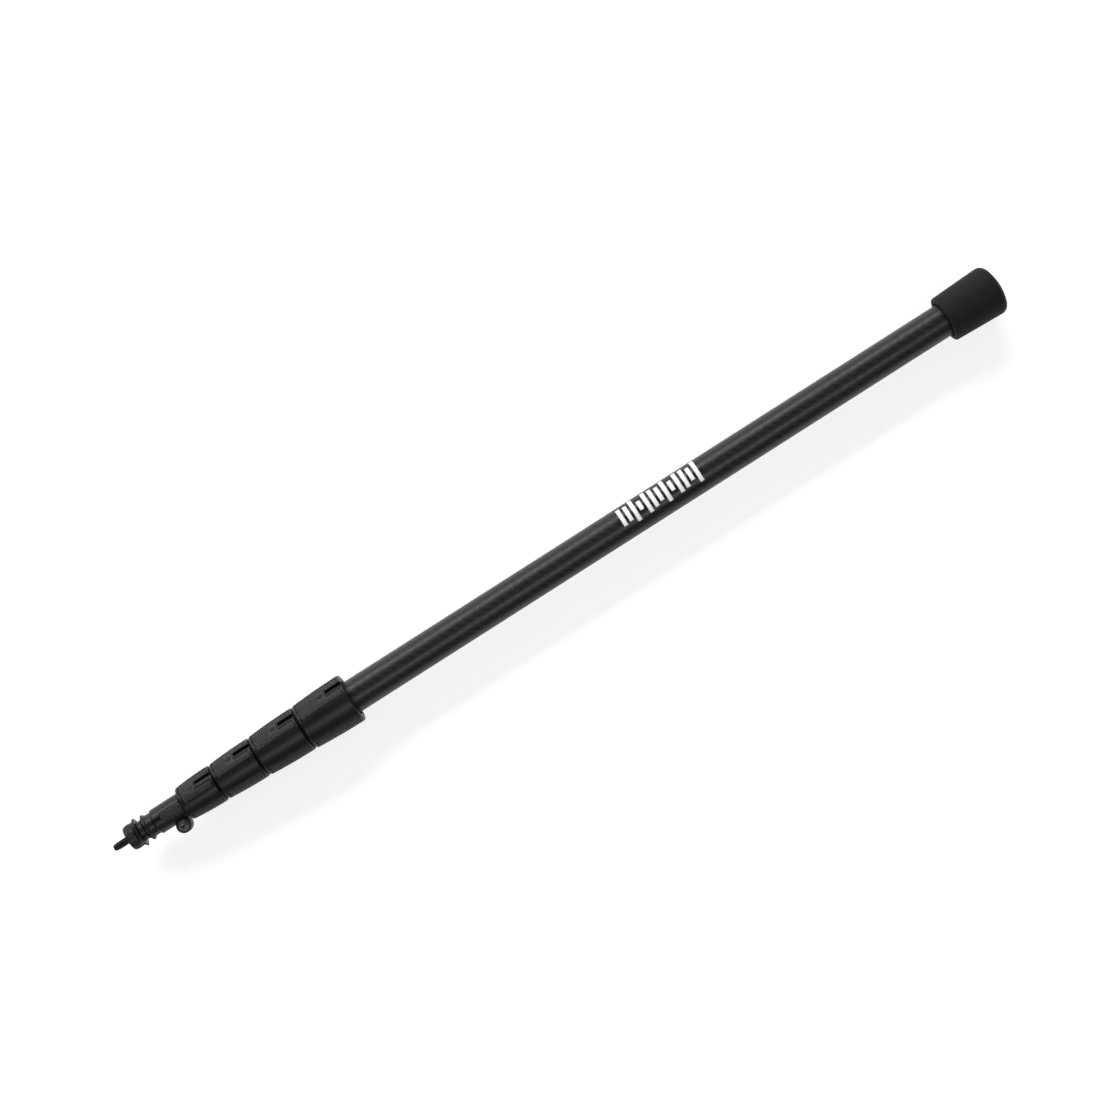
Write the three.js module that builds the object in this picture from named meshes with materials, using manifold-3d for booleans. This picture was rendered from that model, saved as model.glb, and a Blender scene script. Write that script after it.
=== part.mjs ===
// A five-section telescopic boom pole, collapsed, lying along X on the plane Z = 0.
// The threaded tip points to -X and the rubber butt cap to +X. Lengths are in millimetres.
// Stations are measured from the tip of the stud along the pole. Radii of turned pieces are
// to the flats of their facets. Angles run round the pole from the top towards -Y.

import * as THREE from 'three';
import { mergeVertices } from 'three/addons/utils/BufferGeometryUtils.js';
import Module from 'manifold-3d';

const wasm = await Module();
wasm.setup();

// ---- Driving dimensions ------------------------------------------------------------------

// Facets of every turned piece, and the gaps between pieces
const turnSides = 24;
const bondGap = 0.05;
const touchGap = 0.3;
const turnClearance = 0.3;
const slideClearance = 0.12;

// Telescopic tubes, from the main tube (1) to the thinnest (5)
const sectionCount = 5;
const mainTubeRadius = 13.3;
const tubeWall = 1.0;
const tubeSpacing = 0.5;
const mainTubeShown = 543.0;
const tailRoom = 22;
const tailStagger = 25;
const guideLength = 60;

// Twist locks, each on the mouth of its tube: lock 1 is on the main tube
const locks = [
	{ length: 43.4, seat: 16.0, noseWall: 3.7, tailWall: 5.2, turn: 0 },
	{ length: 40.4, seat: 15.0, noseWall: 3.4, tailWall: 4.9, turn: 0 },
	{ length: 36.2, seat: 14.0, noseWall: 3.2, tailWall: 4.7, turn: 0 },
	{ length: 31.2, seat: 12.5, noseWall: 3.3, tailWall: 4.8, turn: 8 },
];
const collarSeam = 0.8;
const collarEndWall = 3.0;
const noseRound = 1.8;
const tailRound = 1.5;
const ferruleWall = 1.6;
const ferruleLip = 1.5;
const ferruleInset = 2.0;
const ferruleLipClearance = 0.2;
const colletNoseWall = 1.2;
const colletSlit = 0.8;
const colletBridge = 2.0;

// Grip pads let into each collar, and the key slot in its tail
const padAngles = { a: -47, b: 73, c: 193 };
const padWidth = 21.5;
const padDepth = 1.2;
const padNoseInset = 2.6;
const padTailInset = 1.9;
const padFit = 0.2;
const slotAngle = -44;
const slotLength = 14.0;
const slotWidth = 4.5;
const slotDepth = 2.6;

// Butt cap, base plug and bumper
const capLength = 49.6;
const capMouthWall = 5.4;
const capMouthFlare = 1.4;
const capMouthDepth = 4.0;
const capMouthEdge = 3.6;
const capEndWall = 7.0;
const capFillet = 6.5;
const capDome = 2.0;
const capDomeFlat = 6.0;
const plugLength = 15.0;
const plugFlange = 2.2;
const plugBoreRadius = 5.0;
const bumperLength = 6.0;
const bumperWall = 2.4;

// Label band on the main tube
const labelOffset = 246;
const labelLength = 75.6;
const labelThickness = 0.2;
const labelFacets = 8;
const labelTurn = -82.5;

// Threaded stud, lock nut and washer
const studRadius = 3.175;
const studReach = 13.5;
const studChamfer = 0.8;
const nutRadius = 10.4;
const nutLength = 7.6;
const nutRound = 1.7;
const nutWasherRadius = 12.0;
const nutWasherThickness = 2.9;
const nutWasherRim = 0.3;

// Tip body: a split sleeve clamped on the thinnest tube
const bossRadius = 8.0;
const bossLength = 3.7;
const flangeHeight = 1.8;
const flangeLength = 4.7;
const grooveLength = 4.8;
const grooveDepth = 1.3;
const sleeveWall = 3.1;
const sleeveLength = 25.2;
const sleeveChamfer = 0.5;
const sleeveBoreDepth = 26.7;
const sleeveSlit = 1.0;
const sleeveSlitLength = 22.0;
const keywayWidth = 0.8;
const keywayDepth = 0.8;

// U-shaped cable port in the sleeve, filled by a bung
const portAngle = -6;
const portWidth = 7.5;
const portLength = 19.0;
const portFit = 0.5;

// Clamp ears, screw, washer and nut
const earRadius = 6.2;
const earStandoff = 3.1;
const earHeight = 6.0;
const earSetback = 7.1;
const screwRadius = 2.0;
const screwHoleRadius = 2.25;
const screwHeadRadius = 3.5;
const screwHeadHeight = 4.0;
const screwSocketRadius = 1.7;
const screwSocketDepth = 2.2;
const clampWasherRadius = 4.3;
const clampWasherThickness = 0.8;
const clampNutRadius = 3.5;
const clampNutHeight = 3.2;

// ---- Derived sizes and stations ----------------------------------------------------------

const nutFront = studReach;
const nutBack = nutFront + nutLength;
const washerFront = nutBack + touchGap;
const washerBack = washerFront + nutWasherThickness;
const bossFront = washerBack + touchGap;
const flangeFront = bossFront + bossLength;
const grooveFront = flangeFront + flangeLength;
const sleeveFront = grooveFront + grooveLength;
const sleeveBack = sleeveFront + sleeveLength;
const sleeveBoreFloor = sleeveBack - sleeveBoreDepth;

const tubeRadii = [];
for (let i = 0; i < sectionCount; i += 1) {
	tubeRadii.push(mainTubeRadius - i * (tubeWall + tubeSpacing));
}
const tipTubeRadius = tubeRadii[sectionCount - 1];
const sleeveBoreRadius = tipTubeRadius + bondGap;
const sleeveRadius = tipTubeRadius + sleeveWall;
const grooveRadius = sleeveRadius - grooveDepth;

// Collars stand nose to tail behind the sleeve, the thinnest tube's collar first
const collarFronts = [];
let nextStation = sleeveBack + collarSeam;
for (let i = locks.length - 1; i >= 0; i -= 1) {
	collarFronts[i] = nextStation;
	nextStation += locks[i].length + collarSeam;
}
const capFront = collarFronts[0] + locks[0].length + mainTubeShown;
const capBack = capFront + capLength;
const mainTubeBack = capBack - capEndWall - touchGap - plugFlange - bondGap;

const boreOf = (i) => tubeRadii[i] + ferruleWall + turnClearance;
const noseRadiusOf = (i) => boreOf(i) + locks[i].noseWall;
const tailRadiusOf = (i) => boreOf(i) + locks[i].tailWall;
const padSpanOf = (i) => THREE.MathUtils.radToDeg(padWidth / tailRadiusOf(i));
const tubeFrontOf = (i) => (i < locks.length
	? collarFronts[i] + locks[i].seat
	: sleeveBoreFloor + touchGap);
const tubeBackOf = (i) => (i === 0
	? mainTubeBack
	: mainTubeBack - tailRoom - (i - 1) * tailStagger);
const restRadius = tailRadiusOf(0);

// ---- Materials ---------------------------------------------------------------------------

const makeMaterial = (color, roughness, metalness) => (
	new THREE.MeshStandardMaterial({ color, roughness, metalness }));

const carbon = makeMaterial(0x1c1d1f, 0.38, 0.0);
const collarPlastic = makeMaterial(0x1f2022, 0.5, 0.0);
const padRubber = makeMaterial(0x2b2c2e, 0.85, 0.0);
const capRubber = makeMaterial(0x161617, 0.9, 0.0);
const blackAlloy = makeMaterial(0x1b1b1d, 0.4, 0.6);
const zincSteel = makeMaterial(0x3a3b3d, 0.35, 0.9);
const innerPlastic = makeMaterial(0x35363a, 0.6, 0.0);
const labelFilm = makeMaterial(0x101011, 0.25, 0.0);

// ---- Solids ------------------------------------------------------------------------------

// Merges shared vertices, drops collapsed triangles and turns the faces outwards
function closedSolid(geometry) {
	const bare = geometry.index ? geometry.toNonIndexed() : geometry.clone();
	bare.deleteAttribute('normal');
	bare.deleteAttribute('uv');
	const merged = mergeVertices(bare, 1e-4);
	const position = merged.getAttribute('position');
	const corners = [0, 1, 2].map(() => new THREE.Vector3());
	const kept = [];
	let volume = 0;
	for (let i = 0; i < merged.index.count; i += 3) {
		const face = [0, 1, 2].map((k) => merged.index.getX(i + k));
		if (face[0] === face[1] || face[1] === face[2] || face[2] === face[0]) continue;
		kept.push(face);
		face.forEach((vertex, k) => corners[k].fromBufferAttribute(position, vertex));
		volume += corners[0].dot(corners[1].clone().cross(corners[2]));
	}
	merged.setIndex(kept.flatMap((face) => (volume > 0 ? face : [face[0], face[2], face[1]])));
	return merged;
}

function toManifold(geometry) {
	const solid = closedSolid(geometry);
	return new wasm.Manifold(new wasm.Mesh({
		numProp: 3,
		vertProperties: new Float32Array(solid.getAttribute('position').array),
		triVerts: new Uint32Array(solid.index.array),
	}));
}

function toGeometry(manifold) {
	const mesh = manifold.getMesh();
	const geometry = new THREE.BufferGeometry();
	geometry.setAttribute('position', new THREE.BufferAttribute(mesh.vertProperties, 3));
	geometry.setIndex(new THREE.BufferAttribute(mesh.triVerts, 1));
	return geometry;
}

const cut = (body, ...tools) => (
	toGeometry(tools.reduce((rest, tool) => rest.subtract(toManifold(tool)), toManifold(body))));
const join = (body, ...others) => (
	toGeometry(others.reduce((sum, other) => sum.add(toManifold(other)), toManifold(body))));
const overlap = (body, tool) => toGeometry(toManifold(body).intersect(toManifold(tool)));

// Turns a profile of [station, radius] points about the pole's axis, with a flat facing down.
// A ring's profile closes on itself; a solid's profile starts and ends on the axis.
function turned(profile, sides = turnSides) {
	const toCorner = 1 / Math.cos(Math.PI / sides);
	const points = profile.map(([station, radius]) => new THREE.Vector2(radius * toCorner, station));
	const geometry = new THREE.LatheGeometry(points, sides, Math.PI / sides);
	geometry.applyMatrix4(new THREE.Matrix4().makeBasis(
		new THREE.Vector3(0, -1, 0), new THREE.Vector3(1, 0, 0), new THREE.Vector3(0, 0, 1)));
	return closedSolid(geometry);
}

const ring = (from, to, inner, outer, sides) => (
	turned([[from, inner], [from, outer], [to, outer], [to, inner], [from, inner]], sides));
const rod = (from, to, radius, sides) => (
	turned([[from, 0], [from, radius], [to, radius], [to, 0]], sides));

// Extrudes an outline of [y, z] points along the pole
function slab(from, to, outline) {
	const shape = new THREE.Shape(outline.map(([y, z]) => new THREE.Vector2(y, z)));
	const geometry = new THREE.ExtrudeGeometry(shape, { depth: to - from, bevelEnabled: false });
	geometry.translate(0, 0, from);
	geometry.applyMatrix4(new THREE.Matrix4().makeBasis(
		new THREE.Vector3(0, 1, 0), new THREE.Vector3(0, 0, 1), new THREE.Vector3(1, 0, 0)));
	return geometry;
}

// Point at an angle round the pole, from the top towards -Y
const atAngle = (degrees, radius) => {
	const angle = THREE.MathUtils.degToRad(degrees);
	return [-radius * Math.sin(angle), radius * Math.cos(angle)];
};

// A wedge from the axis outwards, whose sides are inset by a fit
function wedge(from, to, angle, span, reach, inset = 0) {
	const half = span / 2;
	const apex = inset / Math.sin(THREE.MathUtils.degToRad(half));
	const [y, z] = atAngle(angle, apex);
	const corners = [-half, 0, half].map((side) => {
		const [cornerY, cornerZ] = atAngle(angle + side, reach);
		return [y + cornerY, z + cornerZ];
	});
	return slab(from, to, [[y, z], ...corners]);
}

// A block that stands on the pole's surface at an angle, between two radii
function radialBlock(from, to, angle, width, inner, outer) {
	const geometry = new THREE.BoxGeometry(to - from, width, outer - inner);
	geometry.translate((from + to) / 2, 0, (inner + outer) / 2);
	return geometry.rotateX(THREE.MathUtils.degToRad(angle));
}

// A round or hexagonal bar along Z at a station and a sideways place
function upright(station, y, bottom, top, radius, sides = turnSides) {
	const corner = radius / Math.cos(Math.PI / sides);
	const geometry = new THREE.CylinderGeometry(corner, corner, top - bottom, sides);
	geometry.rotateX(Math.PI / 2);
	return geometry.translate(station, y, (bottom + top) / 2);
}

// ---- Assembly ----------------------------------------------------------------------------

const boomPole = new THREE.Group();
const pole = new THREE.Group();
pole.position.set(-capBack / 2, 0, restRadius);
boomPole.add(pole);

function addPiece(name, geometry, material, parent = pole) {
	const mesh = new THREE.Mesh(geometry, material);
	mesh.name = name;
	parent.add(mesh);
}

// ---- Tubes and slide guides --------------------------------------------------------------

function addTube(i) {
	const name = i === 0 ? 'main_tube' : `tube_${i + 1}`;
	const radius = tubeRadii[i];
	addPiece(name, ring(tubeFrontOf(i), tubeBackOf(i), radius - tubeWall, radius), carbon);
}

// A thin sleeve on the tail of a sliding tube, which runs in the bore of the next tube out
function addGuide(i) {
	const inner = tubeRadii[i] + bondGap;
	const outer = tubeRadii[i - 1] - tubeWall - slideClearance;
	const back = tubeBackOf(i);
	addPiece(`guide_${i + 1}`, ring(back - guideLength, back, inner, outer), innerPlastic);
}

// ---- Twist locks -------------------------------------------------------------------------

// Outer profile of a collar, which swells quickly behind its nose and then runs nearly level
function collarOutline(i) {
	const { length } = locks[i];
	const nose = noseRadiusOf(i);
	const tail = tailRadiusOf(i);
	const points = [];
	for (const turn of [0, 0.5, 1]) {
		const angle = turn * Math.PI / 2;
		points.push([
			noseRound * (1 - Math.sin(angle)),
			nose - noseRound * (1 - Math.cos(angle)),
		]);
	}
	points.reverse();
	for (const share of [0.25, 0.5, 0.75]) {
		const station = noseRound + share * (length - noseRound - tailRound);
		points.push([station, nose + (tail - nose) * (1 - (1 - share) ** 2)]);
	}
	for (const turn of [0, 0.5, 1]) {
		const angle = turn * Math.PI / 2;
		points.push([
			length - tailRound * (1 - Math.sin(angle)),
			tail - tailRound * (1 - Math.cos(angle)),
		]);
	}
	return points;
}

// The collar's bore: a running fit on the ferrule, then a cone round the collet
function collarBore(i) {
	const { length, seat } = locks[i];
	const tubeRadius = tubeRadii[i + 1];
	return [
		[length, boreOf(i)],
		[seat - ferruleLip - touchGap, boreOf(i)],
		[collarEndWall, tubeRadius + colletNoseWall + turnClearance],
		[collarEndWall, tubeRadius + turnClearance],
		[0, tubeRadius + turnClearance],
	];
}

function addCollar(i, group) {
	const { length, turn } = locks[i];
	const outline = collarOutline(i);
	const reach = tailRadiusOf(i) * 2;
	const padTo = length - padTailInset;
	const padSpan = padSpanOf(i);
	const envelope = (depth) => turned([
		[0, 0],
		...outline.map(([station, radius]) => [station, radius - depth]),
		[length, 0],
	]);
	const slot = radialBlock(
		length - slotLength, length + 1, slotAngle + turn, slotWidth, tailRadiusOf(i) - slotDepth, reach);

	const recessFloor = envelope(padDepth);
	const recesses = Object.values(padAngles).map((angle) => (
		cut(wedge(padNoseInset, padTo, angle + turn, padSpan, reach), recessFloor)));
	const shell = turned([...outline, ...collarBore(i), outline[0]]);
	addPiece(`collar_${i + 1}`, cut(shell, ...recesses, slot), collarPlastic, group);

	const padSkin = cut(envelope(0), envelope(padDepth - padFit));
	for (const [letter, angle] of Object.entries(padAngles)) {
		const sector = wedge(
			padNoseInset + padFit, padTo - padFit, angle + turn, padSpan, reach, padFit);
		const pad = overlap(padSkin, sector);
		const shape = letter === 'a' ? cut(pad, slot) : pad;
		addPiece(`grip_pad_${i + 1}${letter}`, shape, padRubber, group);
	}
}

// A threaded sleeve bonded on the tube's mouth, with a lip that stops the slide guide
function addFerrule(i, group) {
	const { length, seat } = locks[i];
	const outer = tubeRadii[i] + ferruleWall;
	const inner = tubeRadii[i] + bondGap;
	const lip = tubeRadii[i + 1] + ferruleLipClearance;
	const mouth = seat - bondGap;
	addPiece(`ferrule_${i + 1}`, turned([
		[seat - ferruleLip, lip],
		[seat - ferruleLip, outer],
		[length - ferruleInset, outer],
		[length - ferruleInset, inner],
		[mouth, inner],
		[mouth, lip],
		[seat - ferruleLip, lip],
	]), innerPlastic, group);
}

// A slit cone that the collar squeezes on the inner tube
function addCollet(i, group) {
	const { seat } = locks[i];
	const tubeRadius = tubeRadii[i + 1];
	const from = collarEndWall + touchGap;
	const to = seat - ferruleLip - touchGap;
	const tail = boreOf(i) - turnClearance;
	const cone = turned([
		[from, tubeRadius + slideClearance],
		[from, tubeRadius + colletNoseWall],
		[to, tail],
		[to, tubeRadius + slideClearance],
		[from, tubeRadius + slideClearance],
	]);
	const slits = [0, 60, 120].map((angle) => (
		radialBlock(from + colletBridge, to + 1, angle, colletSlit, -tail * 2, tail * 2)));
	addPiece(`collet_${i + 1}`, cut(cone, ...slits), innerPlastic, group);
}

function addLock(i) {
	const group = new THREE.Group();
	group.position.x = collarFronts[i];
	pole.add(group);
	addCollar(i, group);
	addFerrule(i, group);
	addCollet(i, group);
}

// ---- Label -------------------------------------------------------------------------------

function addLabel() {
	const inner = mainTubeRadius + bondGap;
	const outer = inner + labelThickness;
	const toCorner = 1 / Math.cos(Math.PI / turnSides);
	const facet = 360 / turnSides;
	const arc = (radius) => Array.from({ length: labelFacets + 1 }, (_, k) => (
		atAngle(labelTurn + k * facet, radius * toCorner)));
	const from = collarFronts[0] + locks[0].length + labelOffset;
	addPiece('label', slab(from, from + labelLength, [...arc(outer), ...arc(inner).reverse()]),
		labelFilm);
}

// ---- Butt end ----------------------------------------------------------------------------

function addButt() {
	const bore = mainTubeRadius + bondGap;
	const mouth = mainTubeRadius + capMouthWall;
	const rimStation = capBack - capDome - capFillet;
	const endRadius = restRadius - capFillet;
	const lip = [0, 0.5, 1].map((turn) => {
		const angle = turn * Math.PI / 2;
		return [
			capFront + capMouthEdge * (1 - Math.cos(angle)),
			mouth - capMouthEdge * (1 - Math.sin(angle)),
		];
	});
	const fillet = [];
	for (const turn of [0.34, 0.67, 1]) {
		const angle = turn * Math.PI / 2;
		fillet.push([rimStation + capFillet * Math.sin(angle), endRadius + capFillet * Math.cos(angle)]);
	}
	addPiece('end_cap', turned([
		[capBack - capEndWall, 0],
		[capBack - capEndWall, bore],
		[capFront + capMouthDepth, bore],
		[capFront, bore + capMouthFlare],
		...lip,
		[rimStation, restRadius],
		...fillet,
		[capBack, capDomeFlat],
		[capBack, 0],
	]), capRubber);

	const flangeFrom = mainTubeBack + bondGap;
	const plugFrom = flangeFrom - plugLength;
	const plugRadius = mainTubeRadius - tubeWall - bondGap;
	addPiece('base_plug', turned([
		[plugFrom, plugBoreRadius],
		[plugFrom, plugRadius],
		[flangeFrom, plugRadius],
		[flangeFrom, mainTubeRadius],
		[flangeFrom + plugFlange, mainTubeRadius],
		[flangeFrom + plugFlange, plugBoreRadius],
		[plugFrom, plugBoreRadius],
	]), innerPlastic);

	const bumperTo = plugFrom - bondGap;
	addPiece('bumper_ring',
		ring(bumperTo - bumperLength, bumperTo, plugRadius - bumperWall, plugRadius), padRubber);
}

// ---- Tip fitting -------------------------------------------------------------------------

const earStation = sleeveBack - earSetback;
const earOffset = sleeveRadius + earStandoff;

function addTipBody() {
	const boreRadius = studRadius + bondGap;
	const middle = (flangeFront + grooveFront) / 2;
	const flangeRadius = grooveRadius + flangeHeight;
	const body = turned([
		[bossFront, boreRadius],
		[bossFront, bossRadius],
		[flangeFront, bossRadius],
		[middle - sleeveChamfer, flangeRadius],
		[middle + sleeveChamfer, flangeRadius],
		[grooveFront, grooveRadius],
		[sleeveFront, grooveRadius],
		[sleeveFront + grooveDepth / 2, sleeveRadius],
		[sleeveBack - sleeveChamfer, sleeveRadius],
		[sleeveBack, sleeveRadius - sleeveChamfer],
		[sleeveBack, sleeveBoreRadius],
		[sleeveBoreFloor, sleeveBoreRadius],
		[sleeveBoreFloor, boreRadius],
		[bossFront, boreRadius],
	]);
	const ears = upright(earStation, -earOffset, -earHeight, earHeight, earRadius);
	const bore = rod(sleeveBoreFloor, sleeveBack + 1, sleeveBoreRadius);
	const slit = radialBlock(
		sleeveBack - sleeveSlitLength, sleeveBack + 1, 90, sleeveSlit, 0, sleeveRadius * 2);
	const hole = upright(earStation, -earOffset, -earHeight - 1, earHeight + 1, screwHoleRadius);
	const keyway = radialBlock(
		grooveFront, sleeveBack - portLength + 1, portAngle, keywayWidth,
		grooveRadius - keywayDepth, sleeveRadius * 2);
	const clamp = cut(join(body, ears), bore, slit, hole, portTool(0, sleeveBoreRadius), keyway);
	addPiece('tip_body', clamp, blackAlloy);
}

// The U-shaped outline of the cable port, open at the sleeve's back, shrunk by a fit
function portTool(inset, inner) {
	const half = portWidth / 2 - inset;
	const front = sleeveBack - portLength;
	const roundCentre = front + portWidth / 2;
	const outline = new THREE.Shape();
	outline.moveTo(sleeveBack + 1, -half);
	outline.lineTo(sleeveBack + 1, half);
	outline.lineTo(roundCentre, half);
	outline.absarc(roundCentre, 0, half, Math.PI / 2, Math.PI * 1.5, false);
	const geometry = new THREE.ExtrudeGeometry(outline, {
		depth: sleeveRadius * 2,
		curveSegments: 6,
		bevelEnabled: false,
	});
	geometry.translate(0, 0, inner / 2);
	return geometry.rotateX(THREE.MathUtils.degToRad(portAngle));
}

function addPortBung() {
	const shell = ring(
		sleeveFront, sleeveBack - sleeveChamfer, sleeveBoreRadius + portFit, sleeveRadius);
	addPiece('port_bung', overlap(shell, portTool(portFit, sleeveBoreRadius)), padRubber);
}

function addStudAndNut() {
	addPiece('mic_stud', turned([
		[0, 0],
		[0, studRadius - studChamfer],
		[studChamfer, studRadius],
		[sleeveBoreFloor - bondGap, studRadius],
		[sleeveBoreFloor - bondGap, 0],
	]), zincSteel);

	const nutBore = studRadius + turnClearance / 2;
	addPiece('lock_nut', turned([
		[nutFront, nutBore],
		[nutFront, nutRadius - nutRound],
		[nutFront + nutRound * 0.3, nutRadius - nutRound * 0.3],
		[nutFront + nutRound, nutRadius],
		[nutBack, nutRadius],
		[nutBack, nutBore],
		[nutFront, nutBore],
	]), blackAlloy);

	addPiece('nut_washer', turned([
		[washerFront, nutBore],
		[washerFront, nutRadius],
		[washerBack - nutWasherRim, nutWasherRadius],
		[washerBack, nutWasherRadius - nutWasherRim],
		[washerBack, nutBore],
		[washerFront, nutBore],
	]), blackAlloy);
}

function addClampScrew() {
	const washerBottom = earHeight + bondGap;
	const washerTop = washerBottom + clampWasherThickness;
	const headBottom = washerTop + bondGap;
	const headTop = headBottom + screwHeadHeight;
	const nutTop = -earHeight - bondGap;
	const nutBottom = nutTop - clampNutHeight;
	const place = [earStation, -earOffset];

	addPiece('clamp_washer', cut(
		upright(...place, washerBottom, washerTop, clampWasherRadius),
		upright(...place, washerBottom - 1, washerTop + 1, screwHoleRadius),
	), zincSteel);
	addPiece('clamp_screw', cut(
		join(
			upright(...place, headBottom, headTop, screwHeadRadius),
			upright(...place, nutBottom - screwRadius / 2, headBottom + 1, screwRadius),
		),
		upright(...place, headTop - screwSocketDepth, headTop + 1, screwSocketRadius, 6),
	), zincSteel);
	addPiece('clamp_nut', cut(
		upright(...place, nutBottom, nutTop, clampNutRadius, 6),
		upright(...place, nutBottom - 1, nutTop + 1, screwHoleRadius),
	), zincSteel);
}

// ---- Build -------------------------------------------------------------------------------

for (let i = 0; i < sectionCount; i += 1) {
	addTube(i);
	if (i > 0) addGuide(i);
}
for (let i = 0; i < locks.length; i += 1) addLock(i);
addLabel();
addButt();
addTipBody();
addPortBung();
addStudAndNut();
addClampScrew();

export default boomPole;
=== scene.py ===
"""Telescopic boom pole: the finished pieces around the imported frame, laid out as an add-on."""
import math

import bmesh
import bpy
from bpy.props import FloatProperty, FloatVectorProperty, IntProperty, PointerProperty
from mathutils import Matrix, Vector


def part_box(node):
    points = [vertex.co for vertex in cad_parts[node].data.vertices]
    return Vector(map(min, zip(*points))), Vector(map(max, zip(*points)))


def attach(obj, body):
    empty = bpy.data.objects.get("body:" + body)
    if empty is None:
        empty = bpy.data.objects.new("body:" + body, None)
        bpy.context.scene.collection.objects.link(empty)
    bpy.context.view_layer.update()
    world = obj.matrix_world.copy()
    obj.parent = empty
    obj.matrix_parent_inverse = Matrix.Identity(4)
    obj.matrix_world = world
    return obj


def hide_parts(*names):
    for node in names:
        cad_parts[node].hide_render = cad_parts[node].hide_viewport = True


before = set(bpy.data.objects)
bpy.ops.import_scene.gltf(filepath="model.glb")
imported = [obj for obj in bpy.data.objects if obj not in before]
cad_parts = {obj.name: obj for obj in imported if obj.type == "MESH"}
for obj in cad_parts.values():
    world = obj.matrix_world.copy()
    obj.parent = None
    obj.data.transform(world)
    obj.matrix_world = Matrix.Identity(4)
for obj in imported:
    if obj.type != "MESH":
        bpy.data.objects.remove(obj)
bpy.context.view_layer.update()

bl_info = {
    "name": "Boom Pole",
    "version": (1, 0, 0),
    "blender": (4, 5, 0),
    "location": "View3D > Sidebar > Boom Pole",
    "description": "Builds the finished pieces of a telescopic boom pole around its frame",
    "category": "Object",
}

MM = 0.001
FULL_TURN = 2 * math.pi
LOCKS = (1, 2, 3, 4)
TUBES = ("main_tube", "tube_2", "tube_3", "tube_4", "tube_5")
SECTIONS = ("main_pole", "section_2", "section_3", "section_4", "section_5")
SMOOTH_BELOW = math.radians(32)
MERGE_DISTANCE = 1e-7

# Rounds on small edges, finest first
FINE_ROUND = 0.0002
SMALL_ROUND = 0.0003
EDGE_ROUND = 0.0004
STEP_ROUND = 0.0005
SOFT_ROUND = 0.0006
BROAD_ROUND = 0.001
CORNER_SHARE = 0.48  # the most of a profile's straight that one round may use

# How far a cutter passes the face that it opens
OVERCUT = 0.001
DEEP_OVERCUT = 0.002


# ---- Sizes and finishes that a user would change ----------------------------------------------


def length(name, default, description):
    """A length in metres, given in millimetres."""
    return FloatProperty(name=name, description=description, default=default * MM,
                         min=0.0, unit="LENGTH", precision=5)


def angle(name, default, description):
    """An angle round the pole from its top towards -Y, given in degrees."""
    return FloatProperty(name=name, description=description, default=math.radians(default),
                         unit="ROTATION")


def colour(name, default, description):
    """A linear colour."""
    return FloatVectorProperty(name=name, description=description, default=default, size=3,
                               min=0.0, max=1.0, subtype="COLOR")


class PoleSizes(bpy.types.PropertyGroup):
    """Sizes of the tubes and the butt end."""

    sides: IntProperty(name="Sides", description="Facets round a turned piece", default=160,
                       min=24, max=256)
    tube_wall: length("Tube wall", 1.0, "Thickness of every tube")
    tube_edge: length("Tube edge", 0.15, "Round on a tube's mouth")
    tow_width: length("Tow width", 1.9, "Width of one carbon tow along the pole")
    bond_gap: length("Bond gap", 0.05, "Glue line between bonded pieces")
    cap_mouth_radius: length("Cap mouth radius", 18.7, "Outer radius at the cap's mouth")
    cap_flare: length("Cap flare", 1.4, "Widening of the cap's bore at its mouth")
    cap_flare_depth: length("Cap flare depth", 4.0, "Depth of that widening")
    cap_mouth_edge: length("Cap mouth edge", 3.6, "Round on the cap's mouth")
    cap_end_wall: length("Cap end wall", 7.0, "Thickness of the cap's closed end")
    cap_fillet: length("Cap fillet", 6.5, "Round between the cap's side and its end")
    cap_dome: length("Cap dome", 2.0, "Height of the dome on the cap's end")
    cap_flat: length("Cap flat", 6.0, "Radius of the flat on the dome")
    plug_bore: length("Plug bore", 5.0, "Radius of the cable hole in the base plug")
    plug_flange: length("Plug flange", 2.2, "Thickness of the base plug's flange")
    label_corner: length("Label corner", 2.0, "Corner round of the label film")
    label_bar_width: length("Label bar width", 3.4, "Width of one printed bar")
    label_bars: IntProperty(name="Label bars", description="Printed bars on the label",
                            default=13, min=3)


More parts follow.
